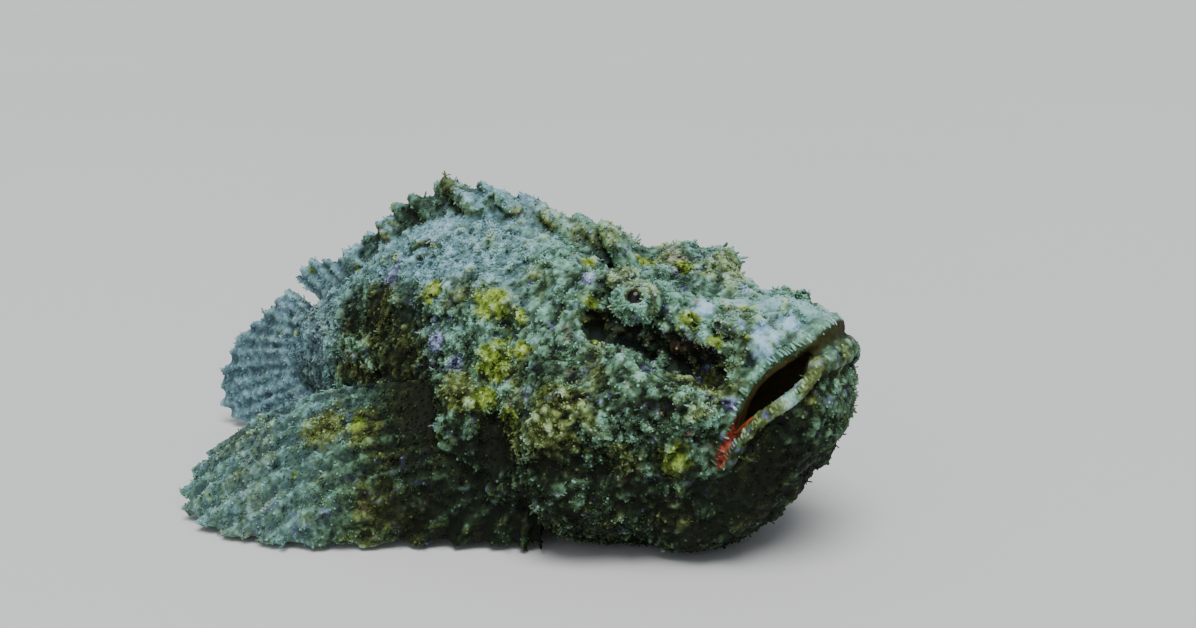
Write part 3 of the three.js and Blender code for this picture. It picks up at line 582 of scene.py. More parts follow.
def lid(side):
    """A fleshy mound round the eye, drawn in over the ball to a small opening."""
    at, look, along_eye, over = eye_frame(side)
    turn = ring_angles(48)[:, None]
    return tube([
        at + look * lift + radius * circle(along_eye, over * flatness, turn)
        for lift, radius, flatness in LID_PROFILE])


def nostrils(side):
    """Two short tubes on one side of the snout, each open at its top."""
    body = BODY.reshape(-1, 3)
    out = out_of(BODY).reshape(-1, 3)
    top = NOSTRIL_HEIGHT
    pieces = []
    for near, outer, inner in NOSTRILS:
        nearest = np.argmin(length_of(body - np.array(near) * (1, side, 1)))
        at, way = body[nearest], out[nearest]
        across = unit(np.cross(way, (0, 0, 1)))
        flat = circle(across, np.cross(way, across), ring_angles(24)[:, None])
        shape = [(-3, outer * 1.4), (0, outer * 1.2), (top, outer)]
        shape += [(top + 0.3, (outer + inner) / 2), (top, inner), (-0.8, inner)]
        pieces.append(tube([at + way * lift + radius * flat for lift, radius in shape]))
    return pieces


def fin(roots, tips, thick, rays, ridge, scallop, steps, arch=(0, 0, 0), side=1):
    """Rays fan from the roots to the margin, as ridges on both faces of one web."""
    mirror = np.array([1, side, 1])
    columns = 2 * (rays - 1)
    k = np.arange(columns * RAY_STEPS + 1) / RAY_STEPS
    roots, tips = (along(np.array(line) * mirror, k / columns * (len(line) - 1)) for line in (roots, tips))
    off_ray = 0.5 - 0.5 * np.cos(math.pi * k)
    tips = tips - unit(tips - roots) * (scallop * off_ray)[:, None]
    t = np.linspace(0, 1, steps + 1)
    grid = mix(roots[:, None], tips[:, None], t[None, :, None])
    grid = grid + np.array(arch) * mirror * np.sin(math.pi * t)[None, :, None]
    outward = slope(grid.swapaxes(0, 1)).swapaxes(0, 1)
    normal = unit(np.cross(outward, slope(grid, 2 * RAY_STEPS)))
    ridges = ridge * 0.5 * np.cos(math.pi * k)[:, None] * np.minimum(1, 3 * t)[None]
    half = mix(*thick, np.sqrt(t))[None] / 2 + ridges
    faces = [grid + s * normal * half[..., None] for s in (1, -1)]
    lift = np.maximum(0, -np.minimum(faces[0][..., 2], faces[1][..., 2]))
    for face in faces:
        face[..., 2] += lift
    return slab(*faces)


def back_at(t):
    return body_point(mix(*SPINE_RIBS, t), 0.0)


def dorsal_pieces():
    draw = random_from(SPINE_SEED)
    shares = (0, 0.25, 0.5, 0.75, 1)
    web = fin(
        roots=[back_at(t) + WEB_ROOT for t in shares], tips=[back_at(t) + WEB_MARGIN for t in shares],
        thick=(7, 4), rays=SPINES, ridge=0, scallop=3, steps=16)
    pieces = [("web", web), ("soft_dorsal", fin(**FINS["soft_dorsal"]))]
    for i in range(SPINES):
        t = i / (SPINES - 1)
        rise = FIRST_SPINE_RISE * max(0, 1 - i / 2)
        lean = math.radians(SPINE_LEAN - rise + SPINE_LEAN_SPREAD * (draw() - 0.5))
        sway = SPINE_SWAY * (1 if i % 2 else -1) * mix(0.5, 1, draw())
        way = np.array([-math.sin(lean), sway, math.cos(lean)])
        length = along(np.array(SPINE_LENGTH)[:, None], 2 * t)[0] * mix(*SPINE_VARIES, draw())
        radii = np.interp(SPINE_STEPS, *SPINE_TAPER) * (mix(*SPINE_RADIUS, t) * mix(*SPINE_VARIES, draw()))
        points = back_at(t) + SPINE_ROOT + way * (SPINE_STEPS * length)[:, None]
        points = points + SPINE_BEND * (SPINE_STEPS ** 2)[:, None]
        pieces.append(("spine", horn(points, radii, sides=16)))
    return pieces


# Seeded noise over space

SPOT_REACH = (0.35, 0.62)


def hashed(cells, seed):
    x, y, z = (cells[..., k].astype(np.int64) for k in range(3))
    h = (x * 73856093) ^ (y * 19349663) ^ (z * 83492791) ^ (seed * 2654435761)
    h = (h ^ (h >> 13)) * 1274126177
    h = (h ^ (h >> 16)) & 0xFFFFFF
    return h / 0xFFFFFF


def noise(points, size, seed):
    """Smooth noise from -1 to 1 with grains of the given size."""
    p = points / size
    cell = np.floor(p)
    t = p - cell
    t = t * t * t * (t * (t * 6 - 15) + 10)
    total = np.zeros(p.shape[:-1])
    for corner in np.ndindex(2, 2, 2):
        weight = np.prod(np.where(corner, t, 1 - t), axis=-1)
        total += weight * hashed(cell + corner, seed)
    return 2 * total - 1


def fractal(points, size, seed, octaves=3):
    total = sum(noise(points, size / 2 ** k, seed + k) * 0.5 ** k for k in range(octaves))
    return total / (2 - 0.5 ** (octaves - 1))


def spots(points, size, seed):
    """Round domes from 0 to 1, one in each cell of the given size, each with its own width and height."""
    p = points / size
    cell = np.floor(p)
    best = np.zeros(p.shape[:-1])
    for shift in np.ndindex(3, 3, 3):
        c = cell + np.array(shift) - 1
        centre = c + 0.5 + 0.4 * np.stack([2 * hashed(c, seed + k) - 1 for k in (1, 2, 3)], -1)
        own = hashed(c, seed + 4)
        far = length_of(p - centre) / mix(*SPOT_REACH, own)
        best = np.maximum(best, mix(0.3, 1, hashed(c, seed + 5)) * within(1 - far * far))
    return best


# Meshes

SHIFT = np.array(sum(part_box("eye_left"), Vector())) / 2 / MM - EYE_AT


def added(name, data):
    """A new object of the scene."""
    made = bpy.data.objects.new(name, data)
    bpy.context.scene.collection.objects.link(made)
    return made


def mesh_object(name, points, faces):
    """A mesh from points in millimetres in the fish's frame."""
    mesh = bpy.data.meshes.new(name)
    mesh.from_pydata(((np.asarray(points) + SHIFT) * MM).tolist(), [], faces)
    return added(name, mesh)


def joined(parts):
    """All parts as one set of points and faces, and the number of the part that each face comes from."""
    points, faces, owners, count = [], [], [], 0
    for i, (_, (p, f)) in enumerate(parts):
        points.append(p)
        faces += [tuple(k + count for k in face) for face in f]
        owners += [i] * len(f)
        count += len(p)
    return np.concatenate(points), faces, np.array(owners)


def read(items, key, kind=np.float32, width=3):
    """One value of every item, as rows of the given width."""
    values = np.empty(len(items) * width, kind)
    items.foreach_get(key, values)
    return values.reshape(-1, width)


def points_of(piece):
    """A piece's mesh points in millimetres in the fish's frame, and its normals."""
    points, normals = (read(piece.data.vertices, key).astype(float) for key in ("co", "normal"))
    return points / MM - SHIFT, normals


def set_points(piece, points):
    co = ((points + SHIFT) * MM).astype(np.float32)
    piece.data.vertices.foreach_set("co", co.ravel())
    piece.data.update()


def spread(values, edges, rounds):
    """Each value moves halfway to the middle of its neighbours'."""
    a, b = edges
    size = len(values)
    count = np.bincount(np.concatenate([a, b]), minlength=size)[:, None]
    columns = values.reshape(size, -1).astype(float)
    for _ in range(rounds):
        sums = [np.bincount(a, c[b], size) + np.bincount(b, c[a], size) for c in columns.T]
        columns = mix(columns, np.stack(sums, -1) / count, 0.5)
    return columns.reshape(values.shape)


def give(piece, **values):
    for name, value in values.items():
        attribute = piece.data.attributes.new(name, "FLOAT", "POINT")
        attribute.data.foreach_set("value", np.asarray(value, np.float32))


def dressed(piece, material):
    piece.data.materials.append(material)
    piece.data.polygons.foreach_set("use_smooth", np.ones(len(piece.data.polygons), bool))
    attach(piece, "root")


# One skin from all parts

def all_parts():
    parts = body_pieces()
    for name, side in SIDES.items():
        parts.append(("lid", lid(side)))
        parts += [("nostril", made) for made in nostrils(side)]
        parts += [(f"{pair}_{name}", fin(**FINS[pair], side=side)) for pair in ("pectoral", "pelvic")]
    parts += [(single, fin(**FINS[single])) for single in ("caudal", "anal")]
    return parts + dorsal_pieces()


def one_skin(parts):
    """The parts remeshed into one surface, and the number of the part that each point lies on."""
    points, faces, owners = joined(parts)
    skin = mesh_object("skin", points, faces)
    bpy.context.view_layer.objects.active = skin
    skin.data.remesh_voxel_size = VOXEL * MM
    bpy.ops.object.voxel_remesh()
    edges = read(skin.data.edges, "vertices", np.int32, 2).T
    set_points(skin, spread(points_of(skin)[0], edges, SMOOTHING))
    tree = BVHTree.FromPolygons(points.tolist(), faces)
    nearest = [tree.find_nearest(p)[2] for p in points_of(skin)[0].tolist()]
    return skin, edges, owners[nearest]


# The skin's relief and markings

def wander(points, size, seed):
    return np.stack([noise(points, size, seed + k) for k in range(3)], -1)


def relief(points):
    """The height in millimetres of the lumps, knobs, grains and creases of warty skin."""
    far, near = wander(points, 8, 41), wander(points, 3, 44)
    lumps = fractal(points + 2 * far, 11, 91)
    knobs = spots(points + 2.2 * far + 0.5 * near, 7.5, 51)
    grains = spots(points + 0.8 * near, 3.8, 61)
    beads = spots(points, 2.1, 71)
    ragged = fractal(points + near, 3.4, 95, 2)
    creases = np.exp(-((fractal(points + 2 * far, 19, 81, 2) / 0.05) ** 2))
    height = 1.9 * lumps + 1.6 * knobs ** 0.8 + 0.8 * grains + 0.4 * beads + 1.0 * ragged
    return height - 0.7 * creases - 0.9


def falloff(points, places):
    """1 at each place and 0 from its radius outwards, on the right and, a little moved, on the left."""
    best = np.zeros(len(points))
    for x, off, z, radius in places:
        for at in ((x, -off, z), (x + MARK_SHIFT[0], off, z + MARK_SHIFT[1])):
            best = np.maximum(best, smooth(1.25 * (1 - length_of(points - at) / radius)))
    return best


# Markings, each as x, its distance to the right, z and radius, with a like one on the left, moved in x and z
MARK_SHIFT = (5, -4)
MARKINGS = {
    "yellow": [
        (-8, 36, 95, 9), (-10, 37, 92, 7), (20, 39, 93, 14), (33, 42, 90, 9), (28, 47, 73, 16),
        (39, 48, 80, 8), (48, 15, 107, 7), (57, -15, 104, 7), (74, -14, 103, 7), (61, 35, 98, 6),
        (66, 38, 86, 7), (98, 28, 94, 8), (112, 12, 96, 7), (110, 32, 88, 6), (24, 50, 59, 11),
        (40, 57, 57, 9), (101, 45, 48, 12), (119, 29, 90, 4), (84, 44, 104, 6), (-26, 64, 46, 7),
    ],
    "olive": [
        (15, 54, 62, 15), (40, 55, 48, 18), (60, 60, 52, 18), (84, 56, 45, 18), (100, 46, 46, 16),
        (-24, 42, 68, 26), (-8, 50, 52, 22), (130, 30, 40, 24), (-40, 28, 78, 26), (-40, 64, 40, 20),
        (-22, 64, 45, 17),
    ],
    "pale": [
        (6, 20, 110, 12), (9, 43, 83, 7), (109, 41, 50, 6), (127, 29, 78, 7), (125, 33, 71, 6),
        (138, 26, 73, 9), (95, 6, 96, 12), (84, 24, 108, 9), (-23, 8, 116, 16), (30, 12, 112, 14),
        (40, 36, 94, 9), (88, 50, 73, 10), (60, 52, 68, 9), (52, 50, 90, 9), (128, 18, 90, 12),
        (107, 6, 98, 12), (118, 5, 98, 13), (130, 0, 96, 12), (139, 29, 73, 9), (146, 5, 76, 10),
    ],
    "lilac": [
        (105, 31, 77, 9), (-3, 43, 76, 9), (11, 49, 72, 7), (59, 32, 105, 6), (86, 39, 76, 6),
        (93, 3, 95, 7), (-40, 22, 96, 12), (118, 38, 68, 5),
    ],
    "blue": [
        (126, 23, 91, 10), (129, 12, 93, 9), (126, 28, 88, 8), (100, 21, 97, 7),
    ],
    # The dark places are partly dark markings and partly painted shade, such as the flank behind the head at
    # (-24, 42, 66) and (-8, 50, 52).
    "dark": [
        (7, 38, 98, 8), (52, 54, 76, 10), (38, 10, 111, 6), (52, 31, 105, 6), (92, 53, 65, 11),
        (-24, 42, 66, 30), (-8, 50, 52, 26), (30, 52, 44, 20), (108, 38, 62, 7), (14, 44, 78, 7),
        (-27, 4, 130, 14), (-38, 2, 120, 12), (-25, 36, 76, 16), (134, 26, 52, 20), (126, 30, 38, 18),
        (-44, 24, 80, 20), (-30, 32, 84, 16), (-60, 18, 78, 16), (-44, 2, 117, 14),
    ],
    # The trough below the eye is darkened as painted shade in its hollow; its brown tint is its own colour.
    "trough": [
        (62, 36, 91, 6), (70, 36, 89, 6), (78, 36, 87, 7), (86, 35, 85, 8), (94, 33, 84, 9),
        (102, 32, 83, 8), (107, 31, 81, 6),
    ],
}
SLEEK = MARKINGS["blue"] + [
    (107, 6, 98, 11), (118, 5, 98, 13), (130, 0, 96, 12), (137, 31, 70, 7),
]


def dress(skin, edges, owners, parts):
    """Pushes the skin's fine forms out and gives it the values that its colours come from."""
    names = np.array([name for name, _ in parts])[owners]
    masks = {name: spread((names == name).astype(float), edges, MASK_ROUNDS) for name in set(names)}
    on = SimpleNamespace(**masks, fins=within(sum(masks[name] for name in FIN_NAMES)))
    points, normals = points_of(skin)
    bare = within(on.mouth + 0.55 * on.lip + 0.35 * on.lid + 0.6 * on.nostril)
    sleek = falloff(points, SLEEK)
    rough = (1 - 0.92 * bare) * (1 - 0.5 * on.fins) * (1 - 0.5 * sleek) * (1 - 0.35 * on.jaw)
    height = relief(points) * rough
    set_points(skin, over_floor(socket(points + normals * height[:, None])))
    values = colouring(*points_of(skin), edges, on, sleek)
    # The height also darkens the low places of the relief in the tone, as painted shade.
    values = {"height": within(0.5 + height / 5), **values}
    give(skin, **values)
    return names, values


def colouring(points, normals, edges, on, sleek):
    """The values of each point of the skin that its tone and tints come from."""
    x, z = points[:, 0], points[:, 2]
    mark = SimpleNamespace(**{name: falloff(points, places) for name, places in MARKINGS.items()})
    near = spread(points, edges, NEAR_ROUNDS)
    wide = spread(near, edges, WIDE_ROUNDS)
    # Knobs come out paler and hollows darker in the tone: painted shade in the hollows, and on the knobs
    # partly painted light, partly the skin's own pale knobs.
    convex = np.einsum("ij,ij->i", points - near, normals)
    hollow = np.einsum("ij,ij->i", wide - points, normals)
    pectoral = within(on.pectoral_left + on.pectoral_right)
    shaded_fin_front = pectoral * between(x, -34, 16)
    # The pectoral's front lies in painted shade.
    fin_rear = pectoral * between(x, -12, -46)
    # The lower body is darkened towards the floor, partly as painted shade and partly as its own dark olive.
    low = between(z, 62, 28) * (1 - pectoral) * (1 - on.caudal)
    haze = within(on.caudal + 0.8 * between(x, -60, -90)) * (1 - pectoral)
    # Upward-facing upper skin: partly real sand dust, partly painted top light, which pales it and tints it
    # blue.
    dust_and_top_light = smooth(0.15 + normals[:, 2]) * between(z, 66, 102)
    upper_dust_and_top_light = dust_and_top_light * mix(0.3, 1.2, between(x, 50, -10)) * (1 - 0.8 * mark.dark)
    fold, rise = lip_fold(points, on.lip)
    red = fold * between(rise, -3, 6) * between(rise, 28, 24)
    # Painted top light pales the upward-facing upper skin here.
    shade = 0.14 * mark.pale + 0.18 * dust_and_top_light + 0.22 * sleek + 0.01 * fin_rear + 0.1 * haze
    shade += 0.07 * mark.yellow + 0.04
    # Painted shade: the lower body, the pectoral's front and the trough below the eye are darkened, and the
    # dark places partly so.
    shade -= 0.26 * mark.dark + 0.29 * low + 0.33 * shaded_fin_front + 0.38 * mark.trough
    shade -= 0.08 * on.jaw + 0.09 * on.lip + 0.2 * red
    return dict(
        convex=within(0.5 + 1.6 * convex),
        open=within(0.5 - 0.32 * hollow),
        shade=shade,
        jaw=on.jaw,
        mouth=on.mouth,
        # Painted shade in the fold where the lips meet, towards the tip of the mouth.
        inner=fold * between(rise, 26, 31),
        lip=on.lip,
        fin=on.fins,
        haze=haze,
        # Pale blue tint: painted top light on the upward-facing upper skin, with the pectoral's rear and the
        # sleek patches.
        frost_and_top_light=within((1 - mark.trough) * (upper_dust_and_top_light + 0.5 * fin_rear + 0.5 * sleek)),
        yellow=mark.yellow,
        olive=np.maximum(mark.olive, 0.5 * low),
        lilac=mark.lilac,
        blue=mark.blue,
        sleek=sleek,
        brown=mark.trough,
        red=red,
        # Painted deep shade on the lower body and the pectoral's front, with the dark places, as a mix
        # towards near-black.
        deep_shade_and_dark_marks=np.clip(0.35 * low + 0.3 * mark.dark + 0.35 * shaded_fin_front, 0, 0.5),
    )


def lip_fold(points, lip):
    """How near the line between the lips each point of a lip is, and its height over the mouth's corners."""
    fold, rise = np.zeros((2, len(points)))
    lips = lip > 0.02
    own = points[lips]
    middle = mix(*(spaced(rim_curve(rim), 120) for rim in (BODY_RIM, JAW_RIM)), 0.5)
    line, places = (np.stack([p[:, 1], p @ GAPE_UP], -1) for p in (middle, own))
    nearest = np.array([np.argmin(((line - at) ** 2).sum(1)) for at in places])
    off = np.abs(own @ GAPE_FORWARD - (middle @ GAPE_FORWARD)[nearest])
    fold[lips] = smooth((FOLD_HALF_WIDTH - off) / FOLD_EDGE)
    rise[lips] = (own - HINGE) @ GAPE_UP
    return fold * lip, rise


def socket(points):
    """The skin drawn back under the eyes."""
    low, high = SOCKET_LIFT
    for side in SIDES.values():
        at, look, along_eye, over = eye_frame(side)
        away = points - at
        lift = away @ look
        radius = np.hypot(away @ along_eye, away @ over / LID_OPENING[1])
        inside = smooth((LID_OPENING[0] - radius) / SOCKET_EDGE) * ((lift > low) & (lift < high))
        points = points + look * (inside * (low - lift))[:, None]
    return points


# Materials

class Paint:
    """A material whose nodes are added one by one. Sizes are in millimetres."""

    def __init__(self, name):
        self.material = bpy.data.materials.new(name)
        self.material.use_nodes = True
        self.tree = self.material.node_tree
        self.place = self.node("TexCoord").outputs["Object"]

    def node(self, kind, inputs=(), **settings):
        made = self.tree.nodes.new("ShaderNode" + kind)
        for name, value in settings.items():
            setattr(made, name, value)
        self.feed(made, dict(inputs))
        return made

    def feed(self, node, inputs):
        """Sets or links the node's inputs, where a string stands for the attribute of that name."""
        for name, value in inputs.items():
            if isinstance(value, str):
                value = self.node("Attribute", attribute_name=value).outputs["Fac"]
            if isinstance(value, bpy.types.NodeSocket):
                self.tree.links.new(value, node.inputs[name])
            else:
                node.inputs[name].default_value = (*value, 1) if isinstance(value, tuple) else value

    def noise(self, size, detail=3, roughness=0.6, distortion=0.0):
        return self.node("TexNoise", {
            "Vector": self.place, "Scale": 1 / (size * MM), "Detail": detail, "Roughness": roughness,
            "Distortion": distortion}).outputs["Fac"]

    def cells(self, size):
        return self.node("TexVoronoi", {"Vector": self.place, "Scale": 1 / (size * MM)}).outputs["Distance"]

    def maths(self, operation, a, b):
        return self.node("Math", {0: a, 1: b}, operation=operation).outputs[0]

    def plus(self, *terms):
        """The sum of values, each times its share."""
        total = 0.0
        for value, share in terms:
            total = self.maths("ADD", total, self.maths("MULTIPLY", value, share))
        return total

    def step(self, value, low, high):
        """0 below low, 1 over high, and smooth between."""
        inputs = {"Value": value, "From Min": low, "From Max": high}
        return self.node("MapRange", inputs, interpolation_type="SMOOTHSTEP").outputs["Result"]

    def mix(self, share, a, b):
        return self.node("Mix", {0: share, 6: a, 7: b}, data_type="RGBA").outputs[2]

    def ramp(self, value, *stops):
        made = self.node("ValToRGB", {"Fac": value})
        elements = made.color_ramp.elements
        while len(elements) < len(stops):
            elements.new(0.5)
        for element, (at, colour) in zip(elements, stops):
            element.position = at
            element.color = (*colour, 1)
        return made.outputs["Color"]

    def bump(self, height, strength, depth, **before):
        inputs = {"Height": height, "Strength": strength, "Distance": depth * MM, **before}
        return self.node("Bump", inputs).outputs["Normal"]

    def finish(self, inputs):
        self.feed(self.tree.nodes["Principled BSDF"], inputs)
        return self.material


# Tints from the darkest hollows, which hold painted shade, to the palest knobs, in thousandths
TONES = (0.04, 0.29, 0.54, 0.79, 1.0)
TONE_LEVEL = 1.17
TINTS = dict(
    green=((3, 5, 2), (15, 30, 13), (70, 135, 75), (160, 340, 240), (280, 540, 440)),
    olive=((3, 4, 1), (20, 28, 8), (90, 120, 30), (240, 330, 120), (420, 560, 340)),
    yellow=((5, 8, 1), (35, 55, 6), (130, 200, 22), (310, 430, 70), (480, 620, 280)),
    lilac=((6, 7, 12), (30, 35, 60), (110, 130, 220), (260, 310, 480), (450, 520, 680)),
    blue=((6, 12, 14), (30, 60, 70), (120, 230, 290), (270, 460, 580), (450, 660, 780)),
    brown=((4, 3, 1), (20, 14, 6), (70, 55, 28), (220, 190, 120), (420, 400, 300)),
)


def skin_material():
    """Dark in the hollows as painted shade and pale on the knobs, partly painted light and partly the skin's
    own pale knobs, in patches of green, yellow, lilac, blue and brown.
    """
    paint = Paint("warty skin")
    clumps = paint.noise(3.4, distortion=0.5)
    patches = paint.noise(8, distortion=0.5)
    # From height, convex and open the tone takes painted shade in the hollows and partly painted light on
    # the knobs, and from shade the painted light and shade of colouring.
    tone = paint.plus(
        ("height", 0.5), ("convex", 0.4), ("open", 0.6), ("shade", 1.0), ("tip", 0.08), ("tone", 1.0),
        (paint.noise(1.4), 0.45), (clumps, 0.8), (patches, 0.5))
    tone = paint.maths("SUBTRACT", tone, TONE_LEVEL)
    tints = {name: paint.ramp(tone, *zip(TONES, np.array(tint) / 1000)) for name, tint in TINTS.items()}
    layers = [
        (paint.step(paint.noise(22, 2, 0.5, 0.6), 0.47, 0.64), tints["olive"]),
        (paint.step(paint.noise(12, 3, 0.6, 0.8), 0.6, 0.7), tints["brown"]),
        (paint.step(paint.noise(5, 3, 0.65, 0.5), 0.58, 0.68), tints["lilac"]),
        ("brown", tints["brown"]),
        # The frost layers tint the upward-facing upper skin pale blue as painted top light.
        (paint.step(paint.plus(("frost_and_top_light", 0.5), (clumps, 1.0)), 0.62, 1.15), tints["blue"]),
        (paint.maths("MULTIPLY", "haze", 0.7), tints["blue"]),
        (paint.maths("MULTIPLY", "haze", 0.35), (0.085, 0.15, 0.19)),
        (paint.maths("MULTIPLY", "frost_and_top_light", 0.35), (0.16, 0.32, 0.34)),
    ]
    ragged = paint.noise(4.5, 4, 0.7)
    for name in ("olive", "yellow", "lilac", "blue"):
        layers.append((paint.step(paint.plus((name, 0.62), (ragged, 1.3)), 0.94, 1.22), tints[name]))
    flesh = ((0.34, (0.03, 0.010, 0.005)), (0.5, (0.19, 0.026, 0.014)), (0.66, (0.38, 0.065, 0.035)))
    layers += [
        (paint.step(paint.noise(9, 3, 0.7, 0.6), 0.6, 0.74), tints["yellow"]),
        # Painted deep shade: the lower body, the pectoral's front and the dark places mixed towards
        # near-black.
        ("deep_shade_and_dark_marks", (0.010, 0.016, 0.008)),
        ("mouth", paint.mix(patches, (0.055, 0.046, 0.016), (0.23, 0.18, 0.068))),
        # Painted shade in the fold where the lips meet, towards the tip of the mouth.
        ("inner", paint.mix(clumps, (0.008, 0.010, 0.003), (0.06, 0.062, 0.022))),
        ("red", paint.ramp(clumps, *flesh)),
    ]
    colour = tints["green"]
    for share, tint in layers:
        colour = paint.mix(share, colour, tint)
    small = paint.bump(paint.noise(0.8, 4, 0.7), 0.5, 0.4)
    return paint.finish({
        "Base Color": colour,
        "Roughness": paint.plus((patches, 0.3), (0.6, 1.0)),
        "Specular IOR Level": 0.14,
        "Normal": paint.bump(paint.cells(1.1), 0.35, 0.3, Normal=small),
    })


def eye_material():
    """A black pupil in a thin dull gold ring, a dark mottled iris and a dark rim, under a wet cornea."""
    paint = Paint("eye")
    mottle = paint.plus((paint.noise(0.9), 0.5), ("streak", 0.5))
    iris = ((0.3, (0.008, 0.008, 0.004)), (0.52, (0.045, 0.04, 0.016)), (0.7, (0.14, 0.13, 0.06)))
    colour = paint.ramp(mottle, *iris)
    colour = paint.mix(paint.step("away", *RING_EDGE), (0.06, 0.048, 0.02), colour)
    colour = paint.mix(paint.step("away", *PUPIL_EDGE), (0.002, 0.002, 0.003), colour)
    colour = paint.mix(paint.step("away", *IRIS_EDGE), colour, (0.012, 0.014, 0.008))
    return paint.finish({
        "Base Color": colour, "Roughness": 0.35, "Specular IOR Level": 0.1, "Coat Weight": 0.35,
        "Coat Roughness": 0.03})


def membrane_material():
    """Red in its upper part and dark towards the corner of the mouth, with darker folds."""
    paint = Paint("mouth membrane")
    folds = paint.plus((paint.noise(1.6, distortion=0.6), 0.7), ("up", 0.35))
    reds = ((0.3, (0.04, 0.008, 0.004)), (0.5, (0.24, 0.03, 0.012)), (0.75, (0.5, 0.09, 0.035)))
    colour = paint.ramp(folds, *reds)
    return paint.finish({
        "Base Color": colour, "Roughness": 0.5, "Specular IOR Level": 0.2,
        "Normal": paint.bump(paint.noise(1.0), 0.4, 0.3)})


def floor_material():
    paint = Paint("pale floor")
    colour = paint.mix(paint.noise(900, 2, 0.5), (0.70, 0.71, 0.71), (0.76, 0.77, 0.77))
    return paint.finish({"Base Color": colour, "Roughness": 0.8})


# Camera, floor and light

def aimed(name, data, place, back):
    """A camera or lamp whose back is towards the given direction."""
    made = added(name, data)
    made.location = place
    made.rotation_mode = "QUATERNION"
    made.rotation_quaternion = (-back).to_track_quat("-Z", "Y")
    return made


def camera_at():
    azimuth, elevation = math.radians(CAMERA_AZIMUTH), math.radians(CAMERA_ELEVATION)
    level = math.cos(elevation)
    back = Vector((math.sin(azimuth) * level, -math.cos(azimuth) * level, math.sin(elevation)))
    target = Vector((CAMERA_TARGET + SHIFT) * MM)
    data = bpy.data.cameras.new("camera")
    data.lens = CAMERA_LENS
    data.clip_start = 0.01
    bpy.context.scene.camera = aimed("camera", data, target + back * CAMERA_DISTANCE * MM, back)


def light(name, kind, way, **settings):
    """A light that shines from the given direction."""
    lamp = bpy.data.lights.new(name, kind)
    for setting, value in settings.items():
        setattr(lamp, setting, value)
    way = Vector(way).normalized()
    aimed(name, lamp, way * LIGHT_DISTANCE, way)


def studio():
    floor = added("floor", bpy.data.meshes.new("floor"))
    corners = [(x * FLOOR_HALF, y * FLOOR_HALF, 0) for x, y in ((-1, -1), (1, -1), (1, 1), (-1, 1))]
    floor.data.from_pydata(corners, [], [(0, 1, 2, 3)])
    floor.data.materials.append(floor_material())
    floor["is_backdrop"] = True
    world = bpy.data.worlds.new("studio")
    world.use_nodes = True
    sky = world.node_tree.nodes["Background"]
    sky.inputs["Color"].default_value = (0.84, 0.90, 0.95, 1)
    sky.inputs["Strength"].default_value = 0.3
    bpy.context.scene.world = world
    light("key", "SUN", (0.25, -0.42, 1), energy=3.2, color=(1, 0.99, 0.97), angle=math.radians(36))
    light("fill", "AREA", (0.2, -1.0, 0.45), energy=4, color=(0.95, 0.98, 1), size=1.2)


# Eyes and the membranes at the corners of the mouth

def eye(name):
    """A ball whose points know how far they are from the middle of the pupil."""
    at, look, along_eye, over = eye_frame(SIDES[name])
    polar = np.linspace(0, 1, EYE_STEPS[0])[1:-1] * math.pi
    turn = ring_angles(EYE_STEPS[1])
    flat = circle(along_eye, over, turn[:, None])
    bulge = 1 + CORNEA * smooth(1 - polar / CORNEA_REACH)
    ring = np.sin(polar)[:, None, None] * flat[None] + np.cos(polar)[:, None, None] * look
    made = mesh_object(f"eye_{name}_ball", *tube(at + EYE_RADIUS * bulge[:, None, None] * ring))
    away = np.append(np.repeat(polar / math.pi, len(turn)), (0, 1))
    around = np.append(np.tile(turn, len(polar)), (0, 0))
    spokes = np.stack([np.cos(around), np.sin(around), 0.15 * away], -1) * 3
    give(made, away=away, streak=0.5 + 0.5 * noise(spokes, 0.35, 5))
    dressed(made, eye_material())
    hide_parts("eye_" + name)


def side_rim(rim, side, heights):
    """The rim's points on one side at the given heights over the corners of the mouth."""
    own = rim[rim[:, 1] * side > 0]
    height = (own - HINGE) @ GAPE_UP
    order = np.argsort(height)
    return np.stack([np.interp(heights, height[order], own[order, k]) for k in range(3)], -1)


def membrane(name):
    """A pleated strip that closes the gape near its corner on one side, up to an oblique edge."""
    side = SIDES[name]
    share, up = (np.linspace(0, 1, steps) for steps in MEMBRANE_STEPS)
    up = up[:, None]
    heights = MEMBRANE_FOOT + up * (mix(*MEMBRANE_TOP, smooth(share)) - MEMBRANE_FOOT)
    upper = side_rim(BODY_RIM, side, heights) - GAPE_FORWARD * MEMBRANE_INSET
    lower = side_rim(JAW_RIM, side, np.maximum(heights, 0)) + GAPE_FORWARD * MEMBRANE_INSET
    deep = 0.4 + (1.7 + 0.8 * np.sin(3 * math.pi * share)) * np.sqrt(np.sin(math.pi * share))
    inward = deep[None, :, None] * np.array([0, -side, 0])
    front = mix(upper, lower, share[None, :, None]) + inward
    back = front + np.array([0, -side * MEMBRANE_THICKNESS, 0])
    made = mesh_object("mouth_membrane_" + name, *slab(front, back))
    height = (points_of(made)[0] - HINGE) @ GAPE_UP
    give(made, up=within(height / MEMBRANE_TOP[1]))
    dressed(made, membrane_material())


# Papillae: grains, clubs, tufts and lobes that stand on the skin

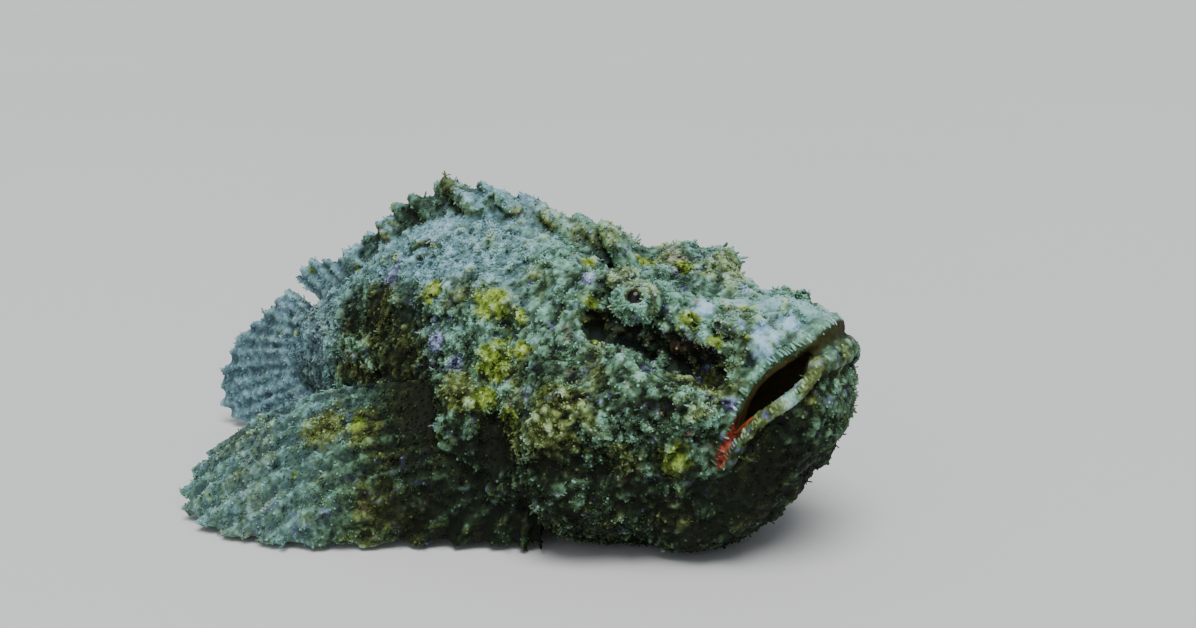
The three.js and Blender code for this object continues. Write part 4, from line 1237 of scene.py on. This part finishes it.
def scattered(surface, draw, count, wanted):
    """Roots on the skin, more where wanted is greater: their places, outward directions and skin points."""
    points, triangles = surface.points, surface.triangles
    a, b, c = (points[triangles[:, k]] for k in range(3))
    area = length_of(np.cross(b - a, c - a)) / 2
    share = area * wanted[triangles].mean(1)
    chosen = triangles[draw.choice(len(triangles), count, p=share / share.sum())]
    u, v = draw.random((2, count))
    over = u + v > 1
    u, v = np.where(over, 1 - u, u), np.where(over, 1 - v, v)
    weights = np.stack([1 - u - v, u, v], -1)
    at, out = (np.einsum("nk,nkj->nj", weights, own[chosen]) for own in (points, surface.normals))
    return SimpleNamespace(at=at, out=unit(out), on=chosen[:, 0])


def shaken(draw, way, amount):
    """Each direction or place, moved at random."""
    return way + amount * draw.normal(size=way.shape)


def rods(at, way, bend, length, radius, sides, stages, flatness=1.0):
    """A tapered rod from each root: points and triangles. stages are (share of length, share of radius)."""
    across, over = square_to(way)
    flat = circle(across[:, None], over[:, None] * flatness, ring_angles(sides)[None, :, None])
    rings = []
    for share, thick in stages:
        middle = at + (way * share + bend * share * abs(share)) * length[:, None]
        rings.append(middle[:, None] + flat * (radius * thick)[:, None, None])
    last = (len(stages) - 1) * sides
    k = np.arange(sides)
    after = (k + 1) % sides
    faces = []
    for i in range(0, last, sides):
        faces.append(np.stack([i + k, i + after, i + sides + after], -1))
        faces.append(np.stack([i + k, i + sides + after, i + sides + k], -1))
    for i in range(1, sides - 1):
        faces.append(np.array([[last, last + i, last + i + 1], [0, i + 1, i]]))
    first = np.arange(len(at)) * sides * len(stages)
    return np.stack(rings, 1), np.concatenate(faces)[None] + first[:, None, None]


def coat(name, surface, on, made, tones):
    """Joined pieces of many rods, each with its root's markings and a small patch of the coat's map."""
    points, triangles = made
    at_once = PIECE_TRIANGLES // triangles.shape[1]
    stages, sides = points.shape[1:3]
    tip = np.repeat(np.linspace(0, 1, stages), sides)
    patch = np.stack([np.tile(np.arange(sides) / sides, stages), tip], -1) * PATCH
    map_at = unwrap(surface, on)
    for start in range(0, len(points), at_once):
        chosen = slice(start, start + at_once)
        own = over_floor(points[chosen])
        corners = triangles[:len(own)].reshape(-1, 3)
        piece = mesh_object(f"{name}_{start // at_once + 1}", own.reshape(-1, 3), corners.tolist())
        marks = {key: np.repeat(value[on[chosen]], len(tip)) for key, value in surface.values.items()}
        give(piece, **marks, tip=np.tile(tip, len(own)), tone=np.repeat(tones[chosen], len(tip)))
        uv = (map_at[chosen][:, None] + patch[None]).reshape(-1, 2)
        layer = piece.data.uv_layers.new(name="OFBake")
        layer.data.foreach_set("uv", uv[corners.ravel()].astype(np.float32).ravel())
        dressed(piece, bpy.data.materials["warty skin"])


def unwrap(surface, on):
    """Places on a flat map of the skin: the body rolled out round its length, and a strip for each fin."""
    points, names = surface.points[on], surface.names[on]
    along_body = (points[:, 0] - MAP_START) / MAP_LENGTH
    around = np.arctan2(points[:, 1], points[:, 2] - MAP_AXIS) / (2 * math.pi) + 0.5
    place = np.stack([0.01 + 0.97 * along_body, 0.36 + 0.61 * around], -1)
    for i, name in enumerate(FIN_NAMES):
        own = names == name
        if own.any():
            flat = np.stack([points[own, 0], points[own, 1] + points[own, 2]], -1)
            share = (flat - flat.min(0)) / (np.ptp(flat, axis=0) + 1e-6)
            column = (i + 0.04 + 0.88 * share[:, 0]) / len(FIN_NAMES)
            place[own] = np.stack([column, 0.01 + 0.32 * share[:, 1]], -1)
    return np.clip(place, 0.002, 0.995)


# Shapes of papillae, as shares of their length and radius from root to tip
GRAIN = ((-0.3, 1), (0.55, 0.85), (1, 0.3))
CLUB = ((-0.25, 0.8), (0.4, 0.85), (0.78, 1.05), (1, 0.5))
BLUNT = ((-0.15, 1), (0.4, 1), (0.78, 0.9), (1, 0.42))
LOBE = ((-0.25, 0.9), (0.2, 1), (0.55, 1.05), (0.85, 0.9), (1, 0.45))


def thickness(length):
    return 0.27 + 0.1 * length


def grains(surface, draw, wanted):
    roots = scattered(surface, draw, GRAINS, wanted)
    radius = mix(*GRAIN_RADIUS, draw.random(GRAINS) ** 1.3)
    way = unit(shaken(draw, roots.out, 0.3))
    made = rods(roots.at, way, 0 * way, radius, radius, 5, GRAIN)
    coat("grains", surface, roots.on, made, draw.choice(GRAIN_TONES, GRAINS, p=[0.35, 0.35, 0.3]))


def clubs(surface, draw, wanted):
    roots = scattered(surface, draw, CLUBS, wanted * mix(0.3, 1, surface.values["open"]))
    length = mix(*CLUB_LENGTH, draw.random(CLUBS) ** 1.4)
    way = unit(shaken(draw, roots.out, 0.6))
    bend = shaken(draw, 0 * way, 0.5)
    made = rods(roots.at, way, bend, length, thickness(length), 4, CLUB, flatness=0.75)
    coat("clubs", surface, roots.on, made, draw.choice(CLUB_TONES, CLUBS, p=[0.4, 0.3, 0.3]))


def tufts(surface, draw, wanted):
    roots = scattered(surface, draw, TUFTS, wanted * surface.values["open"] ** 2)
    many = np.repeat(np.arange(TUFTS), TUFT_CLUBS)
    length = mix(*TUFT_LENGTH, draw.random(TUFTS) ** 1.5)[many] * mix(0.6, 1.1, draw.random(len(many)))
    length *= mix(1, 0.7, between(roots.at[many, 0], 30, 70))
    stem = unit(shaken(draw, roots.out, 0.35))[many]
    way = unit(shaken(draw, stem, 0.4))
    foot = shaken(draw, roots.at[many], 0.5)
    made = rods(foot, way, shaken(draw, 0 * way, 0.4), length, thickness(length), 4, CLUB)
    coat("tufts", surface, roots.on[many], made, draw.choice(TUFT_TONES, TUFTS)[many])


def nearest_on(surface, points):
    tree = KDTree(len(surface.points))
    for i, point in enumerate(surface.points.tolist()):
        tree.insert(point, i)
    tree.balance()
    return np.array([tree.find(p)[1] for p in points.tolist()])


def lip_cirri(surface, draw):
    """Short blunt lobes side by side across each lip, their tips hanging a little over the gape."""
    for name, rim, inward, forward in (
            ("upper_lip", BODY_RIM, -GAPE_FORWARD, GAPE_FORWARD),
            ("lower_lip", JAW_RIM, GAPE_FORWARD, -JAW_FORWARD)):
        path, radius = (line[1:-1] for line in lip_path(rim, inward, LIP_CIRRI + 2))
        outward = path - path.mean(0)
        outward = unit(outward - forward * (outward @ forward)[:, None])
        root = shaken(draw, path + outward * (0.85 * radius)[:, None], 0.3)
        way = unit(shaken(draw, forward + 0.1 * outward, 0.14))
        bend = shaken(draw, -0.3 * outward, 0.12)
        length = mix(*CIRRUS_LENGTH[name], draw.random(LIP_CIRRI))
        radius = mix(*CIRRUS_RADIUS, draw.random(LIP_CIRRI))
        made = rods(root, way, bend, length, radius, 7, LOBE, flatness=0.8)
        tones = mix(*CIRRUS_TONES, draw.random(LIP_CIRRI))
        coat(name + "_cirri", surface, nearest_on(surface, root), made, tones)


def lid_tassels(surface, draw):
    for name, side in SIDES.items():
        at, look, along_eye, over = eye_frame(side)
        turn = shaken(draw, ring_angles(LID_TASSELS), 0.2)[:, None]
        flat = circle(along_eye, over * 0.8, turn)
        root = at + look * TASSEL_LIFT + flat * mix(*TASSEL_ROOT, draw.random(LID_TASSELS))[:, None]
        way = unit(shaken(draw, look + 0.25 * flat, 0.4))
        length = mix(*TASSEL_LENGTH, draw.random(LID_TASSELS) ** 1.3)
        made = rods(root, way, shaken(draw, 0 * way, 0.3), length, 0.4 + 0.08 * length, 5, BLUNT)
        tones = mix(*TASSEL_TONES, draw.random(LID_TASSELS))
        coat("lid_tassels_" + name, surface, nearest_on(surface, root), made, tones)


def papillae(surface):
    draw = np.random.default_rng(PAPILLAE_SEED)
    on = SimpleNamespace(**surface.values)
    wanted = (1 - on.mouth) * (1 - 0.85 * on.lip) * (1 - 0.8 * on.sleek) * (1 - 0.3 * on.fin)
    wanted = wanted * (1 - 0.6 * on.brown) * (1 - 0.55 * on.jaw) * mix(0.25, 1, on.open)
    wanted = wanted * mix(0.2, 1, smooth(0.5 + 0.9 * fractal(surface.points, 12, 201, 2)))
    wanted = wanted * (1 - 0.4 * on.haze) * (1 - on.red) * (1 - on.inner)
    wanted = within(wanted * between(surface.points[:, 2], 1, 5))
    for grow in (grains, clubs, tufts):
        grow(surface, draw, wanted)
    for grow in (lip_cirri, lid_tassels):
        grow(surface, draw)


parts = all_parts()
skin, skin_edges, owners = one_skin(parts)
names, values = dress(skin, skin_edges, owners, parts)
dressed(skin, skin_material())
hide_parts(*[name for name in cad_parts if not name.startswith("eye")])
skin.data.calc_loop_triangles()
surface = SimpleNamespace(values=values, names=names)
surface.points, surface.normals = points_of(skin)
surface.triangles = read(skin.data.loop_triangles, "vertices", np.int32)
papillae(surface)
for side_name in SIDES:
    eye(side_name)
    membrane(side_name)
triangles = sum(len(face.vertices) - 2 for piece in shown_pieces() for face in piece.data.polygons)
print("skin", len(skin.data.vertices), "points,", triangles, "triangles in all")

camera_at()
studio()
